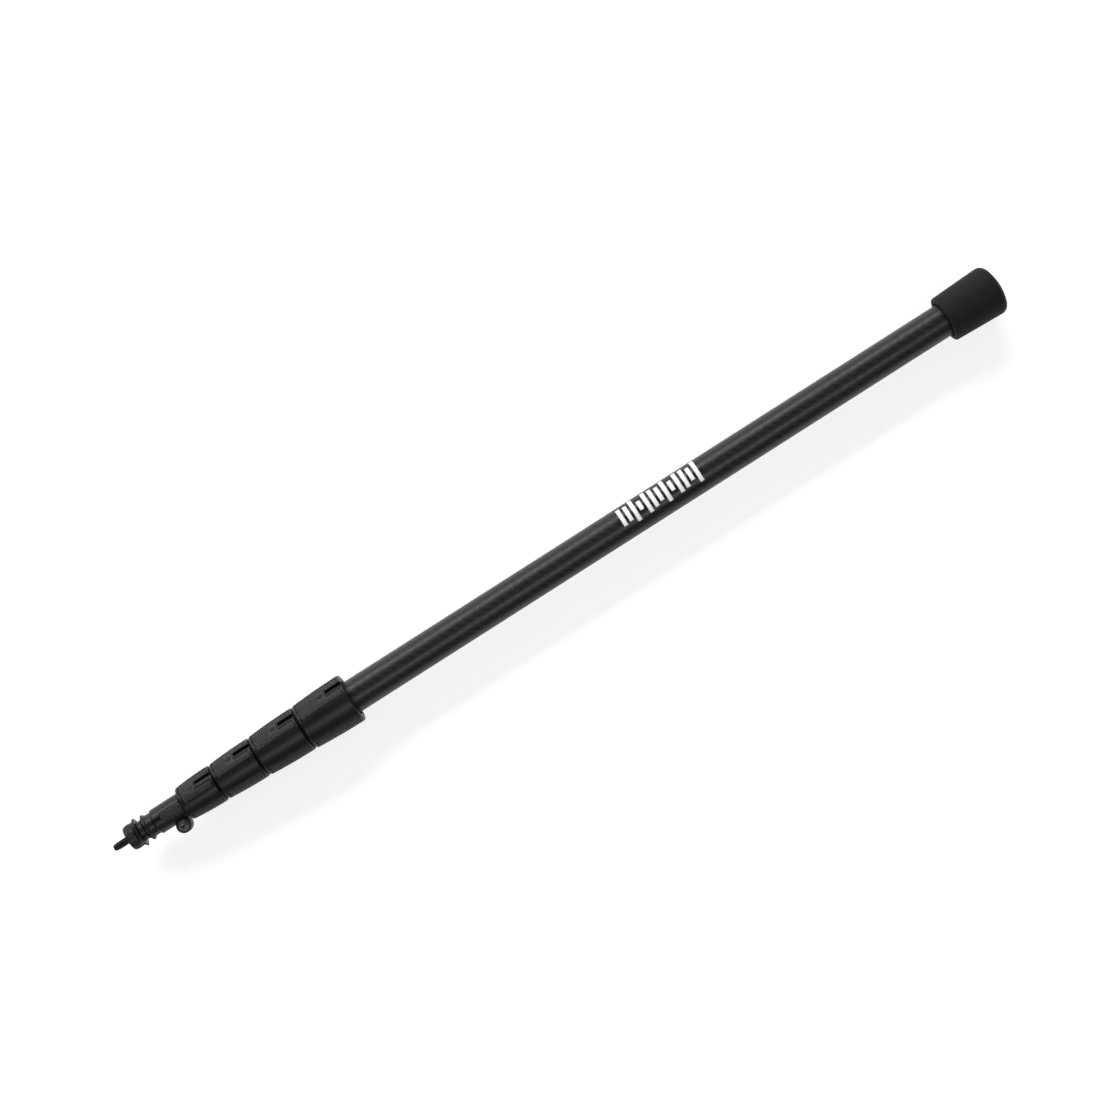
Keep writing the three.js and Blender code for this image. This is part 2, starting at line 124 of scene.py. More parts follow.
class GripSizes(bpy.types.PropertyGroup):
    """Sizes of the twist-lock collars and of what is inside them."""

    swell: length("Swell", 1.5, "Growth in radius from a collar's nose to its tail")
    nose_round: length("Nose round", 1.8, "Round on a collar's nose")
    tail_round: length("Tail round", 1.5, "Round on a collar's tail")
    end_wall: length("End wall", 3.0, "Thickness of a collar's front wall")
    ferrule_wall: length("Ferrule wall", 1.6, "Thickness of the sleeve bonded on a tube")
    ferrule_lip: length("Ferrule lip", 1.5, "Thickness of the sleeve's front lip")
    ferrule_pitch: length("Ferrule pitch", 2.5, "Pitch of the lock's thread")
    turn_clearance: length("Turn clearance", 0.3, "Running clearance of a collar")
    collet_nose: length("Collet nose", 1.2, "Thickness of a collet's nose")
    pad_depth: length("Pad depth", 1.2, "Depth of the recess under a grip pad")
    pad_gap: length("Pad gap", 0.3, "Gap round a grip pad")
    pad_sink: length("Pad sink", 0.42, "From a collar's side down to a pad's skin")
    pad_nose_inset: length("Pad nose inset", 2.6, "From a collar's nose to its pads")
    pad_tail_inset: length("Pad tail inset", 1.9, "From a collar's tail to its pads")
    pad_corner: length("Pad corner", 1.2, "Corner round of a grip pad")
    pad_edge: length("Pad edge", 0.45, "Round along the pad's upper edge")
    pad_width: length("Pad width", 21.5, "Width of one pad round its collar")
    pad_angle: angle("Pad angle", -47, "Angle of the first pad's centre")
    tip_turn: angle("Tip collar turn", 8, "How far the thinnest tube's collar is turned")
    slot_angle: angle("Slot angle", -44, "Angle of the key slot")
    rim_width: length("Rim width", 1.3, "Width of the smooth frame round the key slot")
    rim_edge: length("Rim edge", 0.6, "Round on that frame's edge")
    slot_length: length("Slot length", 14.0, "Length of the key slot")
    slot_width: length("Slot width", 4.5, "Width of the key slot")
    slot_depth: length("Slot depth", 2.6, "Depth of the key slot")
    pip_pitch: length("Pip pitch", 1.75, "Distance between pips on a pad")
    pip_radius: length("Pip radius", 0.62, "Radius of one pip")
    pip_height: length("Pip height", 0.5, "Height of one pip")
    mark_size: length("Mark size", 5.0, "Length of the turn arrow ahead of the slot")
    mark_height: length("Mark height", 0.55, "Height of that arrow above its pad")


class TipSizes(bpy.types.PropertyGroup):
    """Sizes of the tip fitting."""

    thread_pitch: length("Thread pitch", 1.27, "Pitch of the stud's thread")
    thread_depth: length("Thread depth", 0.62, "Depth of the stud's thread")
    nut_round: length("Nut round", 1.7, "Round on the lock nut's front")
    nut_ridges: IntProperty(name="Nut ridges", description="Ridges of the nut's knurl",
                            default=48, min=12)
    nut_ridge: length("Nut ridge", 0.42, "Radius of one ridge")
    washer_rim: length("Washer rim", 0.3, "Length of the bevel behind the washer's rim")
    washer_teeth: IntProperty(name="Washer teeth", description="Teeth on the washer's rim",
                              default=40, min=12)
    boss_radius: length("Boss radius", 8.0, "Radius of the boss behind the washer")
    boss_length: length("Boss length", 3.7, "Length of that boss")
    flange_length: length("Flange length", 4.7, "Length of the flange's two slopes")
    groove_length: length("Groove length", 4.8, "Length of the groove behind the flange")
    groove_depth: length("Groove depth", 1.3, "Depth of that groove")
    sleeve_wall: length("Sleeve wall", 3.1, "Thickness of the split sleeve")
    sleeve_bore_depth: length("Sleeve bore depth", 26.7, "Depth of the sleeve's bore")
    slit_width: length("Slit width", 1.0, "Width of the sleeve's slit")
    slit_length: length("Slit length", 22.0, "Length of the sleeve's slit")
    keyway_width: length("Keyway width", 0.8, "Width of the line that leads to the port")
    port_angle: angle("Port angle", -6, "Angle of the cable port")
    port_width: length("Port width", 7.5, "Width of the cable port")
    port_length: length("Port length", 19.0, "Length of the cable port")
    port_gap: length("Port gap", 0.5, "Gap round the port's bung")
    ear_radius: length("Ear radius", 6.2, "Radius of the clamp ears")
    ear_offset: length("Ear offset", 13.5, "From the pole's axis to the clamp screw")
    ear_setback: length("Ear setback", 7.1, "From the sleeve's back to the clamp screw")
    ear_height: length("Ear height", 6.0, "Height of one ear from the slit")
    ear_round: length("Ear round", 0.9, "Round on the ears' outer edges")
    screw_radius: length("Screw radius", 2.0, "Radius of the clamp screw")
    socket_radius: length("Socket radius", 1.7, "Radius of the screw's hexagon socket")
    socket_depth: length("Socket depth", 2.2, "Depth of that socket")


class Finishes(bpy.types.PropertyGroup):
    """Colours of the finishes."""

    carbon: colour("Carbon", (0.0055, 0.0055, 0.0058), "Carbon tube")
    plastic: colour("Plastic", (0.0036, 0.0036, 0.0038), "Moulded collars")
    pad: colour("Pad", (0.0115, 0.0115, 0.0118), "Grip pads")
    cap: colour("Cap", (0.0058, 0.0058, 0.0060), "Rubber butt cap")
    alloy: colour("Alloy", (0.0200, 0.0200, 0.0207), "Black anodised alloy")
    steel: colour("Steel", (0.0300, 0.0300, 0.0310), "Blackened steel of the stud")
    screw: colour("Screw", (0.0900, 0.0900, 0.0915), "Dark zinc of the clamp screw")
    acetal: colour("Acetal", (0.0240, 0.0240, 0.0255), "Inner plastic")
    film: colour("Film", (0.0042, 0.0042, 0.0045), "Label film")
    print: colour("Print", (0.93, 0.93, 0.93), "Printed bars")
    floor: colour("Floor", (0.92, 0.92, 0.92), "Studio floor")


class BoomPole(bpy.types.PropertyGroup):
    """Everything that can be set on the boom pole."""

    pole: PointerProperty(type=PoleSizes)
    grip: PointerProperty(type=GripSizes)
    tip: PointerProperty(type=TipSizes)
    finish: PointerProperty(type=Finishes)


def settings():
    """The scene's boom pole settings."""
    return bpy.context.scene.boom_pole


# ---- Places taken from the frame ---------------------------------------------------------------


def span(node):
    """Lowest and highest place of a node along the pole."""
    low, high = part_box(node)
    return low[0], high[0]


def radius_of(node):
    """Radius of a turned node."""
    low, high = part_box(node)
    return (high[2] - low[2]) / 2


def axis_height():
    """Height of the pole's axis above the floor."""
    low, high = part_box("main_tube")
    return (low[2] + high[2]) / 2


AXIS = axis_height()


def round_pole(x, turn, radius):
    """A point at a place along the pole, an angle round it and a radius."""
    return Vector((x, -radius * math.sin(turn), AXIS + radius * math.cos(turn)))


# ---- Node trees as expressions -----------------------------------------------------------------


class Wire:
    """A socket of a node tree. Arithmetic on it adds Math nodes."""

    def __init__(self, graph, socket):
        self.graph, self.socket = graph, socket

    def __add__(self, other):
        return self.graph.math("ADD", self, other)

    def __sub__(self, other):
        return self.graph.math("SUBTRACT", self, other)

    def __rsub__(self, other):
        return self.graph.math("SUBTRACT", other, self)

    def __mul__(self, other):
        return self.graph.math("MULTIPLY", self, other)

    def __truediv__(self, other):
        return self.graph.math("DIVIDE", self, other)

    def __mod__(self, other):
        return self.graph.math("FLOORED_MODULO", self, other)

    def __gt__(self, other):
        return self.graph.math("GREATER_THAN", self, other)

    def __lt__(self, other):
        return self.graph.math("LESS_THAN", self, other)

    __radd__ = __add__
    __rmul__ = __mul__


class Graph:
    """A node tree that is written as expressions."""

    def __init__(self, tree):
        self.tree = tree

    def node(self, kind, setup=None, **inputs):
        """Adds a node: its settings first, then the values or links of its sockets."""
        made = self.tree.nodes.new(kind)
        for key, value in (setup or {}).items():
            if key == "stops":
                self.set_stops(made.color_ramp, value)
            else:
                setattr(made, key, value)
        for key, value in inputs.items():
            place = int(key[1:]) if key[0] == "_" else key.replace("_", " ")
            self.feed(made.inputs[place], value)
        return made

    def set_stops(self, ramp, stops):
        """Places the stops of a colour ramp, each a position and a grey."""
        while len(ramp.elements) < len(stops):
            ramp.elements.new(0.5)
        for element, (place, grey) in zip(ramp.elements, stops):
            element.position = place
            element.color = (grey, grey, grey, 1.0)

    def feed(self, socket, value):
        if isinstance(value, Wire):
            self.tree.links.new(value.socket, socket)
        else:
            socket.default_value = value

    def out(self, made, name=0):
        return Wire(self, made.outputs[name])

    def math(self, operation, *values):
        inputs = {f"_{i}": value for i, value in enumerate(values)}
        return self.out(self.node("ShaderNodeMath", {"operation": operation}, **inputs))


# ---- Finishes ----------------------------------------------------------------------------------


class Finish(Graph):
    """A material whose tree ends in one Principled shader."""

    def __init__(self, name, base, roughness, metallic=0.0, **constants):
        self.material = bpy.data.materials.new(name)
        self.material.use_nodes = True
        super().__init__(self.material.node_tree)
        self.tree.nodes.clear()
        self.base = (*base, 1.0)
        self.shader = self.node("ShaderNodeBsdfPrincipled", Base_Color=self.base,
                                Roughness=roughness, Metallic=metallic)
        for key, value in constants.items():
            self.feed(self.shader.inputs[key.replace("_", " ")], value)
        output = self.node("ShaderNodeOutputMaterial")
        self.tree.links.new(self.shader.outputs[0], output.inputs["Surface"])

    def place(self):
        """Object coordinates, with the pole's axis at zero height."""
        coordinates = self.out(self.node("ShaderNodeTexCoord"), "Object")
        mapping = self.node("ShaderNodeMapping", Vector=coordinates, Location=(0, 0, -AXIS))
        return self.out(mapping)

    def noise(self, scale, detail=3.0, rough=0.55, stretch=(1, 1, 1)):
        """Noise from 0 to 1 at a number of cells per metre."""
        mapping = self.node("ShaderNodeMapping", Vector=self.place(), Scale=stretch)
        return self.out(self.node("ShaderNodeTexNoise", Vector=self.out(mapping), Scale=scale,
                                  Detail=detail, Roughness=rough), "Fac")

    def ramp(self, value, *stops):
        made = self.node("ShaderNodeValToRGB", {"stops": stops}, Fac=value)
        return self.out(made)

    def tint(self, factor, lighter):
        """Mixes the base colour with a lighter one."""
        made = self.node("ShaderNodeMix", {"data_type": "RGBA"}, _0=factor, _6=self.base,
                         _7=(*[min(1.0, c * lighter) for c in self.base[:3]], 1.0))
        self.feed(self.shader.inputs["Base Color"], self.out(made, 2))

    def rough(self, value):
        self.feed(self.shader.inputs["Roughness"], value)

    def bump(self, height, distance, strength=1.0):
        made = self.node("ShaderNodeBump", Height=height, Distance=distance, Strength=strength)
        self.feed(self.shader.inputs["Normal"], self.out(made))

    def round_pole(self):
        """Turns round the pole and place along it, as numbers."""
        split = self.node("ShaderNodeSeparateXYZ", Vector=self.place())
        along, side, up = (self.out(split, i) for i in range(3))
        return self.math("ARCTAN2", side, up) / FULL_TURN, along


def carbon_finish(index, radius):
    """Satin lacquer over a two-by-two twill of carbon tows."""
    sizes = settings().pole
    made = Finish(f"carbon_weave_{index}", settings().finish.carbon, 0.4,
                  Coat_Weight=0.1, Coat_Roughness=0.3, Specular_IOR_Level=0.33)
    tows = 4 * round(FULL_TURN * radius / sizes.tow_width / 4)
    turns, along = made.round_pole()
    warp = turns * tows
    weft = along / sizes.tow_width
    step = (made.math("FLOOR", warp) + made.math("FLOOR", weft)) % 4
    over = step < 1.5
    crown_warp = made.math("SINE", made.math("FRACT", warp) * math.pi)
    crown_weft = made.math("SINE", made.math("FRACT", weft) * math.pi)
    crown = over * crown_warp + (1 - over) * crown_weft
    fibres = made.noise(900, 2.0, 0.6, (0.12, 1, 1))
    cloud = made.noise(35, 3.0)
    made.tint(over * 0.55 + fibres * 0.25 + cloud * 0.2, 1.9)
    made.rough(0.34 + over * 0.07 + cloud * 0.1)
    made.bump(crown * 0.8 + fibres * 0.2, 0.00006, 0.55)
    return made.material


def plastic_finish():
    """Moulded black plastic with a fine spark-eroded grain."""
    made = Finish("moulded_plastic", settings().finish.plastic, 0.46, Specular_IOR_Level=0.3)
    grain = made.noise(1500, 1.0, 0.5)
    cloud = made.noise(60, 4.0)
    made.tint(made.ramp(cloud, (0.35, 0.0), (0.75, 1.0)), 1.35)
    made.rough(0.34 + cloud * 0.1 + grain * 0.06)
    made.bump(grain, 0.000012, 0.5)
    return made.material


def rubber_finish(name, base, rough, depth, sheen, gloss):
    """Rubber: a dull, slightly dusty skin with a fine grain."""
    made = Finish(name, base, rough, Sheen_Weight=sheen, Sheen_Roughness=0.35,
                  Specular_IOR_Level=gloss)
    grain = made.noise(1300, 2.0, 0.6)
    cloud = made.noise(45, 5.0, 0.6)
    made.tint(made.ramp(cloud, (0.4, 0.0), (0.8, 1.0)), 1.5)
    made.rough(rough - 0.12 + cloud * 0.2 + grain * 0.06)
    made.bump(grain, depth, 0.6)
    return made.material


def alloy_finish():
    """Black anodised alloy with fine turning lines round the axis."""
    made = Finish("anodised_alloy", settings().finish.alloy, 0.36, 0.7)
    lines = made.noise(2600, 1.0, 0.5, (1, 0.02, 0.02))
    cloud = made.noise(90, 4.0)
    made.tint(made.ramp(cloud, (0.4, 0.0), (0.85, 1.0)), 1.8)
    made.rough(0.3 + lines * 0.1 + cloud * 0.12)
    made.bump(lines, 0.000006, 0.5)
    return made.material


def steel_finish(name, base):
    """Dark plated steel, worn a little lighter in patches."""
    made = Finish(name, base, 0.32, 0.9)
    wear = made.noise(260, 5.0, 0.65)
    made.tint(made.ramp(wear, (0.5, 0.0), (0.8, 1.0)), 2.6)
    made.rough(0.26 + wear * 0.2)
    made.bump(wear, 0.00001, 0.5)
    return made.material


def acetal_finish():
    """Smooth dark engineering plastic."""
    made = Finish("inner_acetal", settings().finish.acetal, 0.42)
    cloud = made.noise(150, 3.0)
    made.tint(cloud, 1.3)
    made.rough(0.36 + cloud * 0.12)
    made.bump(cloud, 0.00003, 0.4)
    return made.material


def film_finish():
    """Satin black film, as dull as the lacquer round it."""
    made = Finish("satin_film", settings().finish.film, 0.38, Coat_Weight=0.1,
                  Coat_Roughness=0.3, Specular_IOR_Level=0.33)
    smear = made.noise(120, 4.0)
    made.tint(smear, 1.6)
    made.rough(0.3 + smear * 0.14)
    made.bump(smear, 0.00002, 0.3)
    return made.material


def print_finish():
    """White screen print with a faint mottle."""
    made = Finish("label_print", settings().finish.print, 0.5)
    mottle = made.noise(700, 3.0)
    made.tint(mottle, 1.08)
    made.rough(0.42 + mottle * 0.16)
    made.bump(mottle, 0.00002, 0.4)
    return made.material


def floor_finish():
    """Plain pale floor with a faint glow of its own."""
    glow = 0.53
    made = Finish("studio_floor", settings().finish.floor, 0.9)
    made.rough(0.85 + made.noise(3, 2.0) * 0.1)
    made.feed(made.shader.inputs["Emission Color"], (1.0, 1.0, 1.0, 1.0))
    made.feed(made.shader.inputs["Emission Strength"], glow)
    return made.material


def finish(name, maker, *values, **named):
    """The material of that name, made once."""
    return bpy.data.materials.get(name) or maker(*values, **named)


# ---- Mesh tools --------------------------------------------------------------------------------


def new_piece(name, vertices, faces):
    """A mesh object at the origin, with its doubles merged and its faces pointing out."""
    mesh = bpy.data.meshes.new(name)
    mesh.from_pydata([tuple(v) for v in vertices], [], faces)
    work = bmesh.new()
    work.from_mesh(mesh)
    bmesh.ops.remove_doubles(work, verts=work.verts, dist=MERGE_DISTANCE)
    bmesh.ops.dissolve_degenerate(work, edges=work.edges, dist=MERGE_DISTANCE)
    bmesh.ops.recalc_face_normals(work, faces=work.faces)
    work.to_mesh(mesh)
    work.free()
    piece = bpy.data.objects.new(name, mesh)
    bpy.context.scene.collection.objects.link(piece)
    return piece


def softened(points, closed=False, steps=4):
    """A profile whose corners are rounded: each point is (place, radius) or has a round too."""
    made = []
    count = len(points)
    for i, (x, r, *more) in enumerate(points):
        here = Vector((x, r))
        if not more or (not closed and i in (0, count - 1)):
            made.append(here)
            continue
        before = Vector(points[i - 1][:2]) - here
        after = Vector(points[(i + 1) % count][:2]) - here
        cut = min(more[0], before.length * CORNER_SHARE, after.length * CORNER_SHARE)
        start, end = here + before.normalized() * cut, here + after.normalized() * cut
        for k in range(steps + 1):
            share = k / steps
            made.append(start * (1 - share) ** 2 + here * 2 * share * (1 - share)
                        + end * share ** 2)
    return made


def turned(name, profile, closed=True):
    """A piece turned about the pole's axis from a closed profile, or one from axis to axis."""
    sides = settings().pole.sides
    count = len(profile)
    vertices = [round_pole(x, FULL_TURN * i / sides, max(r, 0.0))
                for i in range(sides) for x, r in profile]
    steps = count if closed else count - 1
    faces = []
    for i in range(sides):
        here, there = i * count, (i + 1) % sides * count
        for k in range(steps):
            after = (k + 1) % count
            faces.append((here + k, here + after, there + after, there + k))
    return new_piece(name, vertices, faces)


def block(name, low, high, turn=0.0):
    """A block between two corners given from the axis, turned round the pole."""
    corners = [(x, y, z) for x in (low[0], high[0]) for y in (low[1], high[1])
               for z in (low[2], high[2])]
    rotation = Matrix.Rotation(turn, 3, "X")
    vertices = [rotation @ Vector(c) + Vector((0, 0, AXIS)) for c in corners]
    faces = [(0, 1, 3, 2), (4, 6, 7, 5), (0, 4, 5, 1), (2, 3, 7, 6), (0, 2, 6, 4), (1, 5, 7, 3)]
    return new_piece(name, vertices, faces)


def upright(name, centre, profile, sides=96, start=0.0):
    """A piece turned about a vertical line from (height, radius) points, axis to axis."""
    x0, y0 = centre
    count = len(profile)
    vertices = []
    for i in range(sides):
        turn = start + FULL_TURN * i / sides
        vertices += [(x0 + r * math.cos(turn), y0 + r * math.sin(turn), AXIS + z)
                     for z, r in profile]
    faces = []
    for i in range(sides):
        here, there = i * count, (i + 1) % sides * count
        faces += [(here + k, here + k + 1, there + k + 1, there + k) for k in range(count - 1)]
    return new_piece(name, vertices, faces)


def carve(piece, tools, operation="DIFFERENCE"):
    """Cuts, joins or intersects a piece with tools, which are used up."""
    for tool in tools:
        modifier = piece.modifiers.new("carve", "BOOLEAN")
        modifier.operation = operation
        modifier.solver = "MANIFOLD"
        modifier.object = tool
    depsgraph = bpy.context.evaluated_depsgraph_get()
    mesh = bpy.data.meshes.new_from_object(piece.evaluated_get(depsgraph))
    if not mesh.polygons:
        raise RuntimeError(f"{piece.name}: the cut left nothing")
    piece.modifiers.clear()
    piece.data = mesh
    for tool in tools:
        bpy.data.objects.remove(tool)
    return piece


def shade(piece):
    """Smooth shading with sharp edges where the faces turn by SMOOTH_BELOW or more."""
    mesh = piece.data
    mesh.polygons.foreach_set("use_smooth", [True] * len(mesh.polygons))
    work = bmesh.new()
    work.from_mesh(mesh)
    for edge in work.edges:
        edge.smooth = not edge.is_manifold or edge.calc_face_angle(0.0) < SMOOTH_BELOW
    work.to_mesh(mesh)
    work.free()


def settle(piece, material, body, slot, *nodes):
    """Gives a piece its finish, its body and the nodes that it stands for."""
    if material:
        piece.data.materials.clear()
        piece.data.materials.append(material)
        shade(piece)
    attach(piece, body)
    if nodes:
        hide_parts(*nodes)
    return piece


# ---- Geometry node trees -----------------------------------------------------------------------


class Grower(Graph):
    """A Geometry Nodes tree with named inputs."""

    kinds = {"value": "NodeSocketFloat", "count": "NodeSocketInt", "finish": "NodeSocketMaterial"}

    def __init__(self, name, **inputs):
        super().__init__(bpy.data.node_groups.new(name, "GeometryNodeTree"))
        for label, kind in inputs.items():
            self.tree.interface.new_socket(label, in_out="INPUT", socket_type=self.kinds[kind])
        self.tree.interface.new_socket("Geometry", in_out="OUTPUT",
                                       socket_type="NodeSocketGeometry")
        self.source = self.tree.nodes.new("NodeGroupInput")

    def __getattr__(self, label):
        return self.out(self.source, label)

    def vector(self, x=0.0, y=0.0, z=0.0):
        return self.out(self.node("ShaderNodeCombineXYZ", X=x, Y=y, Z=z))

    def split(self, vector):
        made = self.node("ShaderNodeSeparateXYZ", Vector=vector)
        return tuple(self.out(made, i) for i in range(3))

    def close(self, geometry):
        """Ends the tree: instances made real, shaded smooth and given their finish."""
        real = self.node("GeometryNodeRealizeInstances", Geometry=geometry)
        smooth = self.node("GeometryNodeSetShadeSmooth", Geometry=self.out(real))
        made = self.node("GeometryNodeSetMaterial", Geometry=self.out(smooth),
                         Material=self.finish)
        output = self.tree.nodes.new("NodeGroupOutput")
        self.tree.links.new(made.outputs[0], output.inputs[0])
        return self.tree


def grown(name, tree, **values):
    """The plain mesh that a tree makes from its named inputs, as a new object."""
    piece = bpy.data.objects.new(name, bpy.data.meshes.new(name))
    bpy.context.scene.collection.objects.link(piece)
    modifier = piece.modifiers.new("grow", "NODES")
    modifier.node_group = tree
    for item in tree.interface.items_tree:
        if item.in_out == "INPUT":
            modifier[item.identifier] = values[item.name]
    depsgraph = bpy.context.evaluated_depsgraph_get()
    mesh = bpy.data.meshes.new_from_object(piece.evaluated_get(depsgraph))
    if not mesh.polygons:
        raise RuntimeError(f"{name}: its tree made nothing")
    piece.modifiers.clear()
    piece.data = mesh
    return piece


def tree_once(name, maker):
    """The tree of that name, made once."""
    return bpy.data.node_groups.get(name) or maker(name)


def thread_tree(name):
    """A helical ridge round the pole's axis, which fades in and out at its ends."""
    g = Grower(name, start="value", length="value", radius="value", pitch="value",
               ridge="value", axis="value", finish="finish")
    spiral = g.node("GeometryNodeCurveSpiral", Resolution=48, Rotations=g.length / g.pitch,
                    Start_Radius=g.radius, End_Radius=g.radius, Height=g.length)
    share = g.out(g.node("GeometryNodeSplineParameter"), "Factor")
    fade = g.math("MINIMUM", g.math("MINIMUM", share, 1 - share) * 12, 1.0)
    profile = g.node("GeometryNodeCurvePrimitiveCircle", Resolution=6, Radius=g.ridge)
    swept = g.node("GeometryNodeCurveToMesh", Curve=g.out(spiral),
                   Profile_Curve=g.out(profile), Scale=fade + 0.05, Fill_Caps=True)
    placed = g.node("GeometryNodeTransform", Geometry=g.out(swept),
                    Rotation=(0, math.radians(90), 0),
                    Translation=g.vector(g.start, 0.0, g.axis))
    return g.close(g.out(placed))


def ring_tree(name):
    """Like teeth or ridges set side by side round the pole's axis."""
    g = Grower(name, place="value", radius="value", count="count", width="value",
               length="value", height="value", axis="value", finish="finish")
    circle = g.node("GeometryNodeMeshCircle", Vertices=g.count, Radius=g.radius)
    x, y, _ = g.split(g.out(g.node("GeometryNodeInputPosition")))
    tooth = g.node("GeometryNodeMeshUVSphere", Segments=10, Rings=8, Radius=1.0)
    shaped = g.node("GeometryNodeTransform", Geometry=g.out(tooth),
                    Scale=g.vector(g.height, g.width, g.length))
    spread = g.node("GeometryNodeInstanceOnPoints", Points=g.out(circle),
                    Instance=g.out(shaped),
                    Rotation=g.vector(0.0, 0.0, g.math("ARCTAN2", y, x)))
    placed = g.node("GeometryNodeTransform", Geometry=g.out(spread),
                    Rotation=(0, math.radians(90), 0),
                    Translation=g.vector(g.place, 0.0, g.axis))
    return g.close(g.out(placed))


def pip_tree(name):
    """Staggered pips over a pad that follows a collar's swelling side, clear of its slot."""
    g = Grower(name, start="value", length="value", angle="value", width="value",
               pitch="value", pip="value", height="value", nose="value", run="value",
               nose_radius="value", swell="value", slot_start="value", slot_half="value",
               slot_angle="value", axis="value", finish="finish")
    columns, rows = g.length / g.pitch, g.width / g.pitch
    grid = g.node("GeometryNodeMeshGrid", Size_X=g.length, Size_Y=g.width,
                  Vertices_X=columns + 1, Vertices_Y=rows + 1)
    index = g.out(g.node("GeometryNodeInputIndex"))
    x, y, _ = g.split(g.out(g.node("GeometryNodeInputPosition")))
    column = g.math("FLOOR", index / g.math("FLOOR", rows + 1))
    shift = (column % 2 - 0.5) * g.pitch * 0.5
    along = x + g.start + g.length / 2
    u = g.math("MINIMUM", g.math("MAXIMUM", (along - g.nose) / g.run, 0.0), 1.0)
    radius = g.nose_radius + g.swell * (1 - (1 - u) * (1 - u))
    turn = g.angle + (y + shift) / radius
    place = g.vector(along, radius * g.math("SINE", turn) * -1,
                     g.axis + radius * g.math("COSINE", turn))
    marked = g.node("GeometryNodeStoreNamedAttribute", {"data_type": "FLOAT"},
                    Geometry=g.out(grid), Name="turn", Value=turn)
    laid = g.node("GeometryNodeSetPosition", Geometry=g.out(marked), Position=place)
    facing = g.out(g.node("GeometryNodeInputNamedAttribute", {"data_type": "FLOAT"},
                          Name="turn"))
    off_slot = g.math("ABSOLUTE", facing - g.slot_angle) * g.nose_radius
    kept = g.node("GeometryNodeDeleteGeometry", {"domain": "POINT"}, Geometry=g.out(laid),
                  Selection=(x > g.slot_start) * (off_slot < g.slot_half))
    dome = g.node("GeometryNodeMeshUVSphere", Segments=10, Rings=6, Radius=1.0)
    shaped = g.node("GeometryNodeTransform", Geometry=g.out(dome),
                    Scale=g.vector(g.pip, g.pip, g.height))
    spread = g.node("GeometryNodeInstanceOnPoints", Points=g.out(kept),
                    Instance=g.out(shaped), Rotation=g.vector(facing, 0.0, 0.0))
    return g.close(g.out(spread))


def bar_tree(name):
    """Upright bars of uneven height, like a sound level, wrapped round a tube."""
    g = Grower(name, start="value", length="value", bars="count", width="value",
               tallest="value", thickness="value", angle="value", radius="value",
               axis="value", finish="finish")
    step = (g.length - g.width) / (g.bars - 1)
    line = g.node("GeometryNodeMeshLine", Count=g.bars, Offset=g.vector(step, 0.0, 0.0),
                  Start_Location=g.vector(g.width / 2, 0.0, 0.0))
    index = g.out(g.node("GeometryNodeInputIndex"))
    wave = g.math("ABSOLUTE", g.math("SINE", index * 1.9 + 0.7))
    bar = g.node("GeometryNodeMeshCube", Size=(1, 1, 1), Vertices_X=4, Vertices_Y=33,
                 Vertices_Z=2)
    height = g.tallest * (0.3 + wave * 0.7)
    spread = g.node("GeometryNodeInstanceOnPoints", Points=g.out(line), Instance=g.out(bar),
                    Scale=g.vector(g.width, height, g.thickness))
    real = g.node("GeometryNodeRealizeInstances", Geometry=g.out(spread))
    x, y, z = g.split(g.out(g.node("GeometryNodeInputPosition")))
    turn = g.angle + y / g.radius
    out = g.radius + z
    place = g.vector(g.start + x, out * g.math("SINE", turn) * -1,
                     g.axis + out * g.math("COSINE", turn))
    wrapped = g.node("GeometryNodeSetPosition", Geometry=g.out(real), Position=place)
    return g.close(g.out(wrapped))


def joined(name, pieces):
    """Several pieces as one object."""
    work = bmesh.new()
    for piece in pieces:
        work.from_mesh(piece.data)
    mesh = bpy.data.meshes.new(name)
    work.to_mesh(mesh)
    work.free()
    for piece in pieces:
        bpy.data.objects.remove(piece)
    made = bpy.data.objects.new(name, mesh)
    bpy.context.scene.collection.objects.link(made)
    return made


# ---- Stage -------------------------------------------------------------------------------------


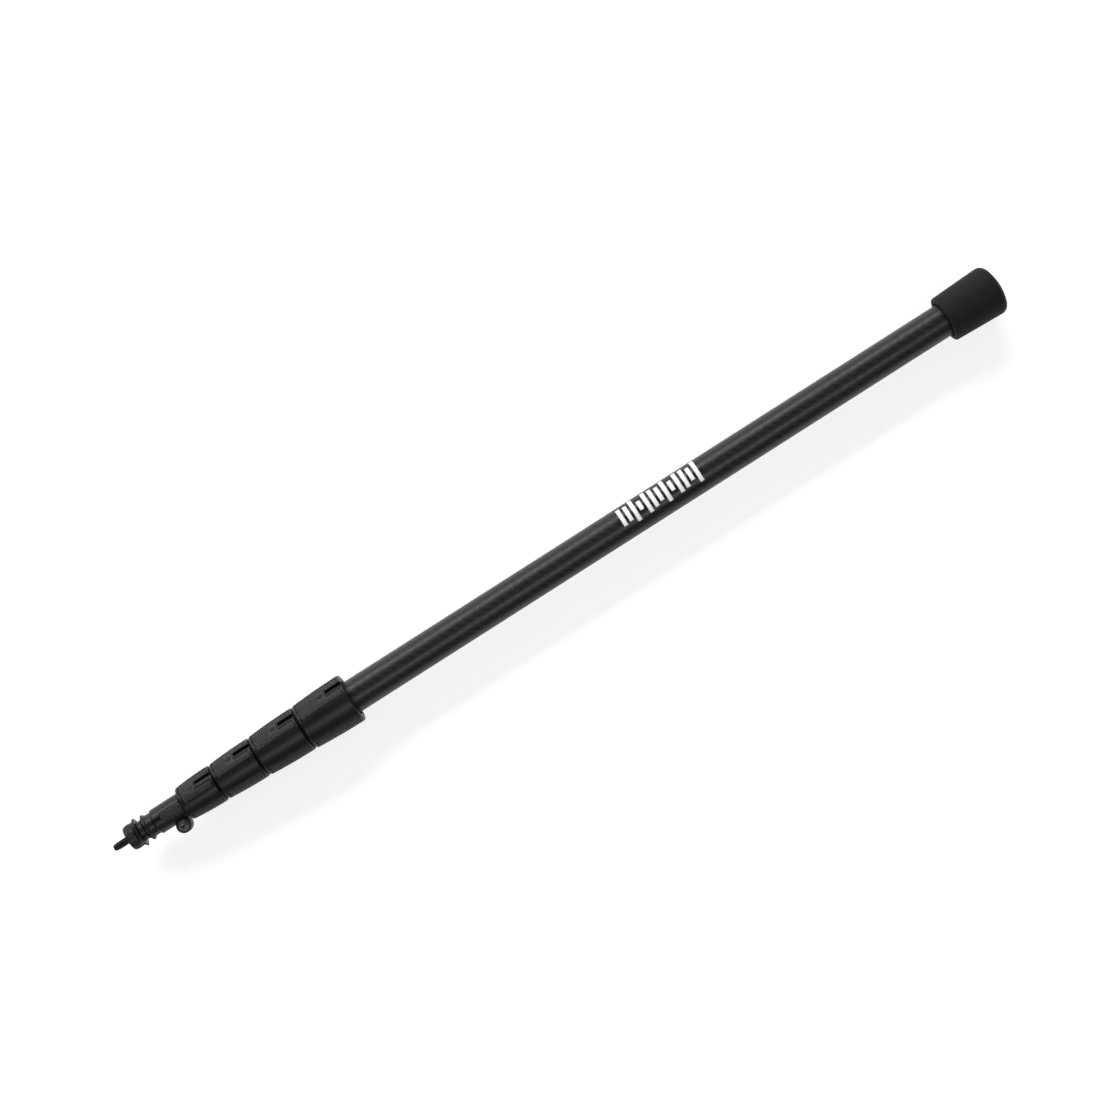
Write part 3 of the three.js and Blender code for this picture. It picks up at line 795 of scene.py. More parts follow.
class BOOM_OT_stage(bpy.types.Operator):
    """Makes the floor, the soft lights and the camera."""

    bl_idname = "boom.stage"
    bl_label = "Stage"

    lens = 69.4
    sensor_width = 36.0
    nearest, farthest = 0.05, 60.0
    distance = 1.67
    tilt = math.radians(0.3)
    roll = math.radians(32.52)
    aim = Vector((0.0050, 0.0030, 0.0))
    floor_reach, floor_drop = 12.0, 0.0001
    world_strength = 0.11

    def execute(self, context):
        self.make_floor()
        self.make_lights(context)
        self.make_camera(context)
        return {"FINISHED"}

    def make_floor(self):
        reach, drop = self.floor_reach, self.floor_drop
        corners = [(x, y, -drop) for x, y in ((-reach, -reach), (reach, -reach),
                                              (reach, reach), (-reach, reach))]
        mesh = bpy.data.meshes.new("studio_floor")
        mesh.from_pydata(corners, [], [(0, 1, 2, 3)])
        mesh.materials.append(finish("studio_floor", floor_finish))
        floor = bpy.data.objects.new("studio_floor", mesh)
        bpy.context.scene.collection.objects.link(floor)

    def make_lights(self, context):
        world = bpy.data.worlds.new("studio")
        world.use_nodes = True
        background = world.node_tree.nodes["Background"]
        background.inputs["Color"].default_value = (1, 1, 1, 1)
        background.inputs["Strength"].default_value = self.world_strength
        context.scene.world = world
        context.scene.view_settings.view_transform = "Standard"
        self.softbox("key", turn=-60, distance=1.9, long_side=3.2, short_side=0.6, power=43)
        self.softbox("fill", turn=23, distance=2.4, long_side=3.0, short_side=0.36, power=23)

    def softbox(self, name, turn, distance, long_side, short_side, power):
        """A rectangular light along the pole, at an angle round it."""
        data = bpy.data.lights.new(name, "AREA")
        data.shape, data.size, data.size_y = "RECTANGLE", long_side, short_side
        data.energy = power
        light = bpy.data.objects.new(name, data)
        back = round_pole(0, math.radians(turn), 1.0) - Vector((0, 0, AXIS))
        side = Vector((1, 0, 0))
        turned_by = Matrix((side, back.cross(side), back)).transposed()
        light.matrix_world = Matrix.Translation(back * distance) @ turned_by.to_4x4()
        bpy.context.scene.collection.objects.link(light)

    def make_camera(self, context):
        data = bpy.data.cameras.new("camera")
        data.lens, data.sensor_width = self.lens, self.sensor_width
        data.clip_start, data.clip_end = self.nearest, self.farthest
        camera = bpy.data.objects.new("camera", data)
        upright_view = Matrix.Rotation(-self.roll, 3, "Z")
        tilted = Matrix.Rotation(-self.tilt, 3, "Y") @ upright_view
        aim = self.aim + Vector((0, 0, AXIS))
        place = aim + tilted @ Vector((0, 0, self.distance))
        camera.matrix_world = Matrix.Translation(place) @ tilted.to_4x4()
        context.scene.collection.objects.link(camera)
        context.scene.camera = camera


# ---- Tubes -------------------------------------------------------------------------------------


class BOOM_OT_tubes(bpy.types.Operator):
    """Makes the five telescopic tubes and the guides on their tails."""

    bl_idname = "boom.tubes"
    bl_label = "Tubes"

    def execute(self, context):
        sizes = settings().pole
        for index, (node, body) in enumerate(zip(TUBES, SECTIONS), start=1):
            front, back = span(node)
            radius = radius_of(node)
            bore, edge = radius - sizes.tube_wall, sizes.tube_edge
            tube = turned(f"carbon_{node}", softened(
                [(front, bore, edge), (front, radius, edge), (back, radius, edge),
                 (back, bore, edge)], closed=True))
            weave = finish(f"carbon_weave_{index}", carbon_finish, index, radius)
            settle(tube, weave, body, "carbon_tube", node)
            if index > 1:
                self.make_guide(index, body, radius + sizes.bond_gap)
        return {"FINISHED"}

    def make_guide(self, index, body, bore):
        node = f"guide_{index}"
        front, back = span(node)
        guide = turned(f"slide_{node}", softened(
            [(front, bore), (front, radius_of(node), 0.0002), (back, radius_of(node), 0.0002),
             (back, bore)], closed=True))
        settle(guide, finish("inner_acetal", acetal_finish), body, "inner_plastic", node)


# ---- Twist locks -------------------------------------------------------------------------------


class Collar:
    """The shape of one twist-lock collar, from its node and the grip sizes."""

    round_steps = 8
    side_steps = 24
    rim_overrun = 0.0005
    edge_steps = 5
    across_steps = 14
    corner_steps = 5
    outline_steps = (10, 30)

    def __init__(self, index):
        grip = settings().grip
        self.index, self.grip = index, grip
        self.node = f"collar_{index}"
        self.front, self.back = span(self.node)
        self.tail_radius = radius_of(self.node)
        self.nose_radius = self.tail_radius - grip.swell
        self.tube_radius = radius_of(TUBES[index - 1])
        self.inner_radius = radius_of(TUBES[index])
        self.bore = self.tube_radius + grip.ferrule_wall + grip.turn_clearance
        self.nose = self.front + grip.nose_round
        self.run = self.back - grip.tail_round - self.nose
        self.turn = grip.tip_turn if index == len(LOCKS) else 0.0

    def pad_span(self):
        """Angle that one pad covers."""
        return self.grip.pad_width / self.tail_radius

    def pad_turn(self, k):
        """Angle of the middle of one of the three pads."""
        return self.grip.pad_angle + self.turn + FULL_TURN * k / 3

    def side(self, x):
        """Radius of the collar's side at a place along it."""
        share = min(max((x - self.nose) / self.run, 0.0), 1.0)
        return self.nose_radius + self.grip.swell * (1 - (1 - share) ** 2)

    def profile(self, seat):
        """Closed profile: the outside from nose to tail, then the bore."""
        grip, steps = self.grip, self.round_steps
        points = []
        for k in range(steps + 1):
            turn = math.pi / 2 * k / steps
            points.append((self.nose - grip.nose_round * math.cos(turn),
                           self.nose_radius - grip.nose_round * (1 - math.sin(turn))))
        for k in range(1, self.side_steps):
            x = self.nose + self.run * k / self.side_steps
            points.append((x, self.side(x)))
        for k in range(steps + 1):
            turn = math.pi / 2 * k / steps
            points.append((self.back - grip.tail_round * (1 - math.sin(turn)),
                           self.tail_radius - grip.tail_round * (1 - math.cos(turn))))
        wall = self.front + grip.end_wall
        mouth = self.inner_radius + grip.turn_clearance
        cone = self.inner_radius + grip.collet_nose + grip.turn_clearance
        return points + softened(
            [(self.back, self.bore, EDGE_ROUND), (seat, self.bore, SMALL_ROUND), (wall, cone),
             (wall, mouth), (self.front, mouth, EDGE_ROUND)], closed=True)

    def slot(self, name):
        """A cutter for the key slot, open at the tail."""
        grip = self.grip
        half = grip.slot_width / 2
        floor = self.tail_radius - grip.slot_depth
        return block(name, (self.back - grip.slot_length, -half, floor),
                     (self.back + DEEP_OVERCUT, half, self.tail_radius * 1.5),
                     grip.slot_angle + self.turn)

    def pad(self, name, turn, gap, top, bottom, edge=0.0):
        """The shape of a pad or of the recess under it."""
        grip = self.grip
        start = self.front + grip.pad_nose_inset + gap
        end = self.back - grip.pad_tail_inset - gap
        half_width = self.pad_span() / 2 * (self.side(start) + self.side(end)) / 2 - gap
        return self.slab(name, start, end, half_width, turn, grip.pad_corner - gap, top, bottom,
                         edge)

    def rim(self, name, gap, top, edge=0.0):
        """The shape of the smooth frame round the key slot, or of the hole for it in a pad."""
        grip = self.grip
        start = self.back - grip.slot_length - grip.rim_width - gap
        half_width = grip.slot_width / 2 + grip.rim_width + gap
        end = self.back - grip.pad_tail_inset + self.rim_overrun + gap
        return self.slab(name, start, end, half_width, grip.slot_angle + self.turn,
                         grip.rim_width + gap, top, -grip.pad_depth - gap, edge)

    def slab(self, name, start, end, half_width, turn, corner, top, bottom, edge):
        """A rounded rectangle that follows the side, between two heights from it."""
        middle, half_length = (start + end) / 2, (end - start) / 2
        mean = (self.side(start) + self.side(end)) / 2
        rings = [(0.0, bottom)]
        if edge:
            turns = [k * math.pi / (2 * self.edge_steps) for k in range(self.edge_steps + 1)]
            rings += [(edge * (1 - math.cos(t)), top - edge * (1 - math.sin(t)))
                      for t in turns]
        else:
            rings.append((0.0, top))
        inner = self.across_steps
        rings += [(edge + (half_width - edge) * k / inner, top) for k in range(1, inner + 1)]
        rings = [(half_width * k / inner, bottom) for k in range(inner, 0, -1)] + rings
        outlines = [self.outline(half_length - inset, half_width - inset,
                                 max(corner - inset, 0.0)) for inset, _ in rings]
        count = len(outlines[0])
        vertices = []
        for (_, height), outline in zip(rings, outlines):
            for along, across in outline:
                x = middle + along
                vertices.append(round_pole(x, turn + across / mean, self.side(x) + height))
        faces = []
        for r in range(len(rings) - 1):
            for k in range(count):
                after = (k + 1) % count
                faces.append((r * count + k, r * count + after,
                              (r + 1) * count + after, (r + 1) * count + k))
        for r in (0, len(rings) - 1):
            faces += self.strip(r * count, count)
        return new_piece(name, vertices, faces)

    def strip(self, first, count):
        """Closes an outline that has shrunk to a line, by pairing its two sides."""
        return [(first + k, first + k + 1, first + count - k - 2, first + count - k - 1)
                for k in range(count // 2 - 1)]

    def outline(self, half_length, half_width, corner):
        """Points of a rounded rectangle, the same number at every size."""
        half_length, half_width = max(half_length, 0.0), max(half_width, 0.0)
        corner = min(corner, half_length, half_width)
        points, turns, sides = [], self.corner_steps, self.outline_steps
        centres = [(1, -1), (1, 1), (-1, 1), (-1, -1)]
        for quarter, (sx, sy) in enumerate(centres):
            cx, cy = sx * (half_length - corner), sy * (half_width - corner)
            begin = -math.pi / 2 + quarter * math.pi / 2
            for k in range(turns + 1):
                turn = begin + math.pi / 2 * k / turns
                points.append((cx + corner * math.cos(turn), cy + corner * math.sin(turn)))
            nx, ny = centres[(quarter + 1) % 4]
            nx, ny = nx * (half_length - corner), ny * (half_width - corner)
            end = begin + math.pi / 2
            shift = (corner * math.cos(end), corner * math.sin(end))
            steps = sides[quarter % 2]
            for k in range(1, steps):
                share = k / steps
                points.append((cx + (nx - cx) * share + shift[0],
                               cy + (ny - cy) * share + shift[1]))
        turn_start = turns // 2 + 1 + sides[0] // 2
        return points[turn_start:] + points[:turn_start]


class BOOM_OT_collars(bpy.types.Operator):
    """Makes the four collars, each with three pad recesses and a key slot."""

    bl_idname = "boom.collars"
    bl_label = "Collars"

    def execute(self, context):
        for index in LOCKS:
            collar = Collar(index)
            grip = collar.grip
            seat = span(f"ferrule_{index}")[0] - grip.turn_clearance
            shell = turned(f"lock_{collar.node}", collar.profile(seat))
            tools = [collar.pad(f"recess_{k}", collar.pad_turn(k), 0.0, DEEP_OVERCUT,
                                -grip.pad_depth) for k in range(3)]
            carve(shell, tools)
            carve(shell, [collar.rim("slot_frame", 0.0, 0.0, grip.rim_edge)], "UNION")
            carve(shell, [collar.slot("slot_tool")])
            settle(shell, finish("moulded_plastic", plastic_finish), collar.node,
                   "collar_plastic", collar.node)
        return {"FINISHED"}


class BOOM_OT_pads(bpy.types.Operator):
    """Makes the rubber grip pads with their pips."""

    bl_idname = "boom.pads"
    bl_label = "Grip pads"

    def execute(self, context):
        rubber = finish("grip_rubber", rubber_finish, "grip_rubber", settings().finish.pad,
                        rough=0.56, depth=0.00001, sheen=0.28, gloss=0.42)
        for index in LOCKS:
            collar = Collar(index)
            for k, letter in enumerate("abc"):
                self.make_pad(collar, k, letter, rubber)
        return {"FINISHED"}

    def make_pad(self, collar, k, letter, rubber):
        grip = collar.grip
        node = f"grip_pad_{collar.index}{letter}"
        turn = collar.pad_turn(k)
        pad = collar.pad(f"skin_{node}", turn, grip.pad_gap, -grip.pad_sink,
                         grip.pad_gap - grip.pad_depth, grip.pad_edge)
        if letter == "a":
            carve(pad, [collar.rim("frame_tool", grip.pad_gap, DEEP_OVERCUT)])
        margin = grip.pad_edge + grip.pip_radius
        start, end = span(node)
        slot_start = collar.back - grip.slot_length - grip.rim_width - grip.mark_size * 1.5
        pips = grown(f"pips_{node}", tree_once("pips_on_pad", pip_tree),
                     start=start + margin, length=end - start - 2 * margin,
                     angle=turn, width=collar.pad_span() * collar.nose_radius - 2 * margin,
                     pitch=grip.pip_pitch, pip=grip.pip_radius, height=grip.pip_height,
                     nose=collar.nose, run=collar.run,
                     nose_radius=collar.nose_radius - grip.pad_sink,
                     swell=grip.swell,
                     slot_start=slot_start if letter == "a" else collar.back,
                     slot_half=grip.slot_width / 2 + grip.rim_width + grip.pip_pitch * 0.5,
                     slot_angle=grip.slot_angle + collar.turn, axis=AXIS, finish=rubber)
        whole = joined(f"rubber_{node}", [pad, pips])
        settle(whole, rubber, collar.node, "pad_rubber", node)


class BOOM_OT_marks(bpy.types.Operator):
    """Makes the raised turn arrow ahead of each key slot."""

    bl_idname = "boom.marks"
    bl_label = "Turn arrows"

    arrow = ((-1.0, -0.3), (0.1, -0.3), (0.1, -0.85), (1.0, 0.0), (0.1, 0.85), (0.1, 0.3),
             (-1.0, 0.3))
    root_depth = 0.0002

    def execute(self, context):
        plastic = finish("moulded_plastic", plastic_finish)
        for index in LOCKS:
            collar = Collar(index)
            grip = collar.grip
            half = grip.mark_size / 2
            middle = collar.back - grip.slot_length - grip.rim_width - grip.mark_size * 0.8
            base = -grip.pad_sink - self.root_depth
            vertices = []
            for height in (base, grip.mark_height - grip.pad_sink):
                for along, across in self.arrow:
                    x = middle + along * half
                    turn = grip.slot_angle + collar.turn + across * half / collar.side(x)
                    vertices.append(round_pole(x, turn, collar.side(x) + height))
            count = len(self.arrow)
            faces = [tuple(range(count)), tuple(range(count, 2 * count))]
            faces += [(k, (k + 1) % count, (k + 1) % count + count, k + count)
                      for k in range(count)]
            mark = new_piece(f"turn_arrow_{index}", vertices, faces)
            settle(mark, plastic, collar.node, "collar_plastic")
        return {"FINISHED"}


class BOOM_OT_lock_inners(bpy.types.Operator):
    """Makes the threaded ferrules and the slit collets inside the collars."""

    bl_idname = "boom.lock_inners"
    bl_label = "Ferrules and collets"

    lip_gap = 0.0002
    ridge = 0.00055
    ridge_sink = 0.0001
    thread_inset = 0.001
    collet_gap = 0.00012
    slit_half = 0.0004
    slits = 3

    def execute(self, context):
        acetal = finish("inner_acetal", acetal_finish)
        for index in LOCKS:
            collar = Collar(index)
            body = SECTIONS[index - 1]
            self.make_ferrule(collar, body, acetal)
            self.make_collet(collar, body, acetal)
        return {"FINISHED"}

    def make_ferrule(self, collar, body, acetal):
        grip = collar.grip
        node = f"ferrule_{collar.index}"
        front, back = span(node)
        outer = radius_of(node)
        inner = collar.tube_radius + settings().pole.bond_gap
        lip = collar.inner_radius + self.lip_gap
        mouth = front + grip.ferrule_lip
        core = outer - self.ridge * 0.9
        sleeve = turned(f"core_{node}", softened(
            [(front, lip), (front, core, SMALL_ROUND), (back, core, SMALL_ROUND), (back, inner),
             (mouth, inner), (mouth, lip)], closed=True))
        thread = grown(f"thread_{node}", tree_once("helical_thread", thread_tree),
                       start=front + self.thread_inset,
                       length=back - front - 2 * self.thread_inset,
                       radius=core - self.ridge_sink, pitch=grip.ferrule_pitch,
                       ridge=self.ridge, axis=AXIS, finish=acetal)
        whole = joined(f"threaded_{node}", [sleeve, thread])
        settle(whole, acetal, body, "inner_plastic", node)

    def make_collet(self, collar, body, acetal):
        grip = collar.grip
        node = f"collet_{collar.index}"
        front, back = span(node)
        inner = collar.inner_radius + self.collet_gap
        tail = collar.bore - grip.turn_clearance
        nose = collar.inner_radius + grip.collet_nose
        cone = turned(f"slit_{node}", softened(
            [(front, inner), (front, nose, SMALL_ROUND), (back, tail, SOFT_ROUND), (back, inner)],
            closed=True))
        half = self.slit_half
        slits = [block(f"slit_{k}", (front + DEEP_OVERCUT, -half, -tail * 2),
                       (back + OVERCUT, half, tail * 2), math.radians(180 * k / self.slits))
                 for k in range(self.slits)]
        settle(carve(cone, slits), acetal, body, "inner_plastic", node)


# ---- Label -------------------------------------------------------------------------------------


class BOOM_OT_label(bpy.types.Operator):
    """Makes the label film and its printed level bars."""

    bl_idname = "boom.label"
    bl_label = "Label"

    glue = 0.00003
    film_lift = 0.00012
    bar_thickness = 0.00008
    margin = 0.0022
    middle_turn, half_turn = math.radians(-25), math.radians(56)
    columns, rows = 60, 48

    def execute(self, context):
        sizes = settings().pole
        start, end = span("label")
        tube = radius_of("main_tube")
        film_base, film_top = tube + self.glue, tube + self.film_lift
        half_width = self.half_turn * tube
        film = self.make_film(start, end, film_base, film_top, half_width,
                              sizes.label_corner)
        settle(film, finish("satin_film", film_finish), "main_pole", "label_film", "label")
        margin = self.margin
        bars = grown("label_bars", tree_once("level_bars", bar_tree),
                     start=start + margin, length=end - start - 2 * margin,
                     bars=sizes.label_bars, width=sizes.label_bar_width,
                     tallest=2 * half_width - 2 * margin, thickness=self.bar_thickness,
                     angle=self.middle_turn, radius=film_top + self.glue, axis=AXIS,
                     finish=finish("label_print", print_finish))
        settle(bars, bars.data.materials[0], "main_pole", "label_film")
        return {"FINISHED"}

    def make_film(self, start, end, base, top, half_width, corner):
        """A thin rounded rectangle wrapped on the tube, as rows across it."""
        columns, rows = self.columns, self.rows
        vertices, faces = [], []
        for radius in (base, top):
            for i in range(columns + 1):
                x = start + (end - start) * i / columns
                inset = max(corner - (x - start), corner - (end - x), 0.0)
                half = half_width - (corner - math.sqrt(max(corner ** 2 - inset ** 2, 0.0)))
                for k in range(rows + 1):
                    across = half * (2 * k / rows - 1)
                    vertices.append(round_pole(x, self.middle_turn + across / top, radius))
        layer = (columns + 1) * (rows + 1)
        for i in range(columns):
            for k in range(rows):
                a = i * (rows + 1) + k
                b = a + rows + 1
                faces.append((a, a + 1, b + 1, b))
                faces.append((layer + a, layer + b, layer + b + 1, layer + a + 1))
        rim = list(range(rows + 1))
        rim += [i * (rows + 1) + rows for i in range(1, columns + 1)]
        rim += [columns * (rows + 1) + k for k in range(rows - 1, -1, -1)]
        rim += [i * (rows + 1) for i in range(columns - 1, 0, -1)]
        for a, b in zip(rim, rim[1:] + rim[:1]):
            faces.append((a, b, layer + b, layer + a))
        return new_piece("label_film_patch", vertices, faces)


# ---- Butt end ----------------------------------------------------------------------------------


class BOOM_OT_butt(bpy.types.Operator):
    """Makes the rubber cap, the base plug and the bumper."""

    bl_idname = "boom.butt"
    bl_label = "Butt end"

    fillet_steps, fillet_share = 14, 0.86
    dome_steps = 12
    bumper_wall = 0.0024

    def execute(self, context):
        self.make_cap()
        self.make_plug()
        return {"FINISHED"}

    def make_cap(self):
        sizes = settings().pole
        front, back = span("end_cap")
        rest = radius_of("end_cap")
        bore = radius_of("main_tube") + sizes.bond_gap
        rim = back - sizes.cap_dome - sizes.cap_fillet
        end_radius = rest - sizes.cap_fillet
        floor = back - sizes.cap_end_wall
        points = softened(
            [(floor, 0.0), (floor, bore, BROAD_ROUND),
             (front + sizes.cap_flare_depth, bore, BROAD_ROUND),
             (front, bore + sizes.cap_flare, SMALL_ROUND),
             (front, sizes.cap_mouth_radius, sizes.cap_mouth_edge), (rim, rest)])
        for k in range(1, self.fillet_steps + 1):
            turn = math.pi / 2 * k / self.fillet_steps * self.fillet_share
            points.append(Vector((rim + sizes.cap_fillet * math.sin(turn),
                                  end_radius + sizes.cap_fillet * math.cos(turn))))
        last = points[-1]
        for k in range(1, self.dome_steps + 1):
            share = k / self.dome_steps
            radius = last.y + (sizes.cap_flat - last.y) * share
            points.append(Vector((last.x + (back - last.x) * math.sin(share * math.pi / 2),
                                  radius)))
        points.append(Vector((back, 0.0)))
        cap = turned("butt_cap", points, closed=False)
        rubber = finish("butt_rubber", rubber_finish, "butt_rubber", settings().finish.cap,
                        rough=0.74, depth=0.00003, sheen=0.0, gloss=0.26)
        settle(cap, rubber, "main_pole", "cap_rubber", "end_cap")

    def make_plug(self):
        sizes = settings().pole
        acetal = finish("inner_acetal", acetal_finish)
        front, back = span("base_plug")
        tube = radius_of("main_tube")
        barrel = tube - sizes.tube_wall - sizes.bond_gap
        flange = back - sizes.plug_flange
        plug = turned("cable_base_plug", softened(
            [(front, sizes.plug_bore, SOFT_ROUND), (front, barrel, SOFT_ROUND),
             (flange, barrel), (flange, tube, EDGE_ROUND), (back, tube, EDGE_ROUND),
             (back, sizes.plug_bore, SOFT_ROUND)], closed=True))
        settle(plug, acetal, "main_pole", "inner_plastic", "base_plug")
        start, end = span("bumper_ring")
        outer = radius_of("bumper_ring")
        inner = outer - self.bumper_wall
        bumper = turned("soft_bumper_ring", softened(
            [(start, inner, BROAD_ROUND), (start, outer, BROAD_ROUND), (end, outer, EDGE_ROUND),
             (end, inner, EDGE_ROUND)], closed=True))
        rubber = bpy.data.materials["butt_rubber"]
        settle(bumper, rubber, "main_pole", "pad_rubber", "bumper_ring")


# ---- Tip fitting -------------------------------------------------------------------------------


class BOOM_OT_tip_body(bpy.types.Operator):
    """Makes the split sleeve with its flange, port and clamp ears."""

    bl_idname = "boom.tip_body"
    bl_label = "Tip body"

    rim_half = 0.0004
    hole_gap = 0.00025
    keyway_depth = 0.0008
    seal_gap, seal_sink = 0.0002, 0.0003
    seal_margin = 0.0005
    pip_height, pip_sink = 0.0002, 0.0001
    arc_steps = 24

    def execute(self, context):
        tip = settings().tip
        front, back = span("tip_body")
        stud = radius_of("mic_stud") + settings().pole.bond_gap
        bore = radius_of("tube_5") + settings().pole.bond_gap
        sleeve = radius_of("tube_5") + tip.sleeve_wall
        groove = sleeve - tip.groove_depth
        rim = radius_of("tip_body")
        slope = front + tip.boss_length
        middle = slope + tip.flange_length / 2
        step = slope + tip.flange_length
        shoulder = step + tip.groove_length
        floor = back - tip.sleeve_bore_depth
        body = turned("clamp_sleeve", softened(
            [(front, stud), (front, tip.boss_radius, SMALL_ROUND),
             (slope, tip.boss_radius, FINE_ROUND), (middle - self.rim_half, rim, FINE_ROUND),
             (middle + self.rim_half, rim, FINE_ROUND), (step, groove, STEP_ROUND),
             (shoulder, groove, SOFT_ROUND),
             (shoulder + tip.groove_depth * 0.6, sleeve, SOFT_ROUND),
             (back, sleeve, SOFT_ROUND), (back, bore, SMALL_ROUND), (floor, bore),
             (floor, stud)], closed=True))
        centre = (back - tip.ear_setback, -tip.ear_offset)
        height, radius, edge = tip.ear_height, tip.ear_radius, tip.ear_round
        ears = upright("ears", centre, softened(
            [(-height, 0.0), (-height, radius, edge), (height, radius, edge), (height, 0.0)]))
        carve(body, [ears], "UNION")
        reach = sleeve * 2
        drill = tip.screw_radius + self.hole_gap
        hole = upright("hole", centre, [(-reach, 0.0), (-reach, drill), (reach, drill),
                                        (reach, 0.0)])
        inside = turned("bore", [(floor, 0.0), (floor, bore), (back + OVERCUT, bore),
                                 (back + OVERCUT, 0.0)], closed=False)
        half = tip.slit_width / 2
        slit = block("slit", (back - tip.slit_length, -half, 0.0),
                     (back + OVERCUT, half, reach), math.radians(90))
        half = tip.keyway_width / 2
        keyway = block("keyway", (step, -half, groove - self.keyway_depth),
                       (back - tip.port_length + OVERCUT, half, reach), tip.port_angle)
        carve(body, [hole, inside, slit, self.port("port", 0.0, bore, reach), keyway])
        settle(body, finish("anodised_alloy", alloy_finish), "section_5", "black_alloy", "tip_body")
        self.make_bung(bore, sleeve)
        return {"FINISHED"}

    def port(self, name, gap, bore, top):
        """The port's U outline, open at the back, as an upright slab turned to its angle."""
        tip = settings().tip
        back = span("tip_body")[1]
        half = tip.port_width / 2 - gap
        centre = back - tip.port_length + tip.port_width / 2
        outline = [(back + OVERCUT, -half), (back + OVERCUT, half)]
        for k in range(self.arc_steps + 1):
            turn = math.pi / 2 + math.pi * k / self.arc_steps
            outline.append((centre + half * math.cos(turn), half * math.sin(turn)))
        rotation = Matrix.Rotation(tip.port_angle, 3, "X")
        vertices = [rotation @ Vector((x, y, z)) + Vector((0, 0, AXIS))
                    for z in (bore / 2, top) for x, y in outline]
        count = len(outline)
        faces = [tuple(range(count)), tuple(range(count, 2 * count))]
        faces += [(k, (k + 1) % count, (k + 1) % count + count, k + count) for k in range(count)]
        return new_piece(name, vertices, faces)

    def make_bung(self, bore, sleeve):
        tip = settings().tip
        front, back = span("port_bung")
        inner, outer = bore + self.seal_gap, sleeve - self.seal_sink
        shell = turned("port_seal", softened(
            [(front - DEEP_OVERCUT, inner), (front - DEEP_OVERCUT, outer),
             (back, outer, STEP_ROUND), (back, inner)], closed=True))
        carve(shell, [self.port("port", tip.port_gap, bore, sleeve * 2)], "INTERSECT")
        rubber = bpy.data.materials["grip_rubber"]
        grip = settings().grip
        half = tip.port_width / 2 - tip.port_gap - grip.pip_radius
        start = back - tip.port_length + tip.port_width / 2
        end = back - self.seal_margin - grip.pip_radius
        pips = grown("bung_pips", tree_once("pips_on_pad", pip_tree), start=start,
                     length=end - start, angle=tip.port_angle, width=half * 2,
                     pitch=grip.pip_pitch, pip=grip.pip_radius, height=self.pip_height,
                     nose=start, run=end - start, nose_radius=outer - self.pip_sink,
                     swell=0.0, slot_start=back, slot_half=0.0, slot_angle=0.0, axis=AXIS,
                     finish=rubber)
        bung = joined("port_seal_bung", [shell, pips])
        settle(bung, rubber, "section_5", "pad_rubber", "port_bung")


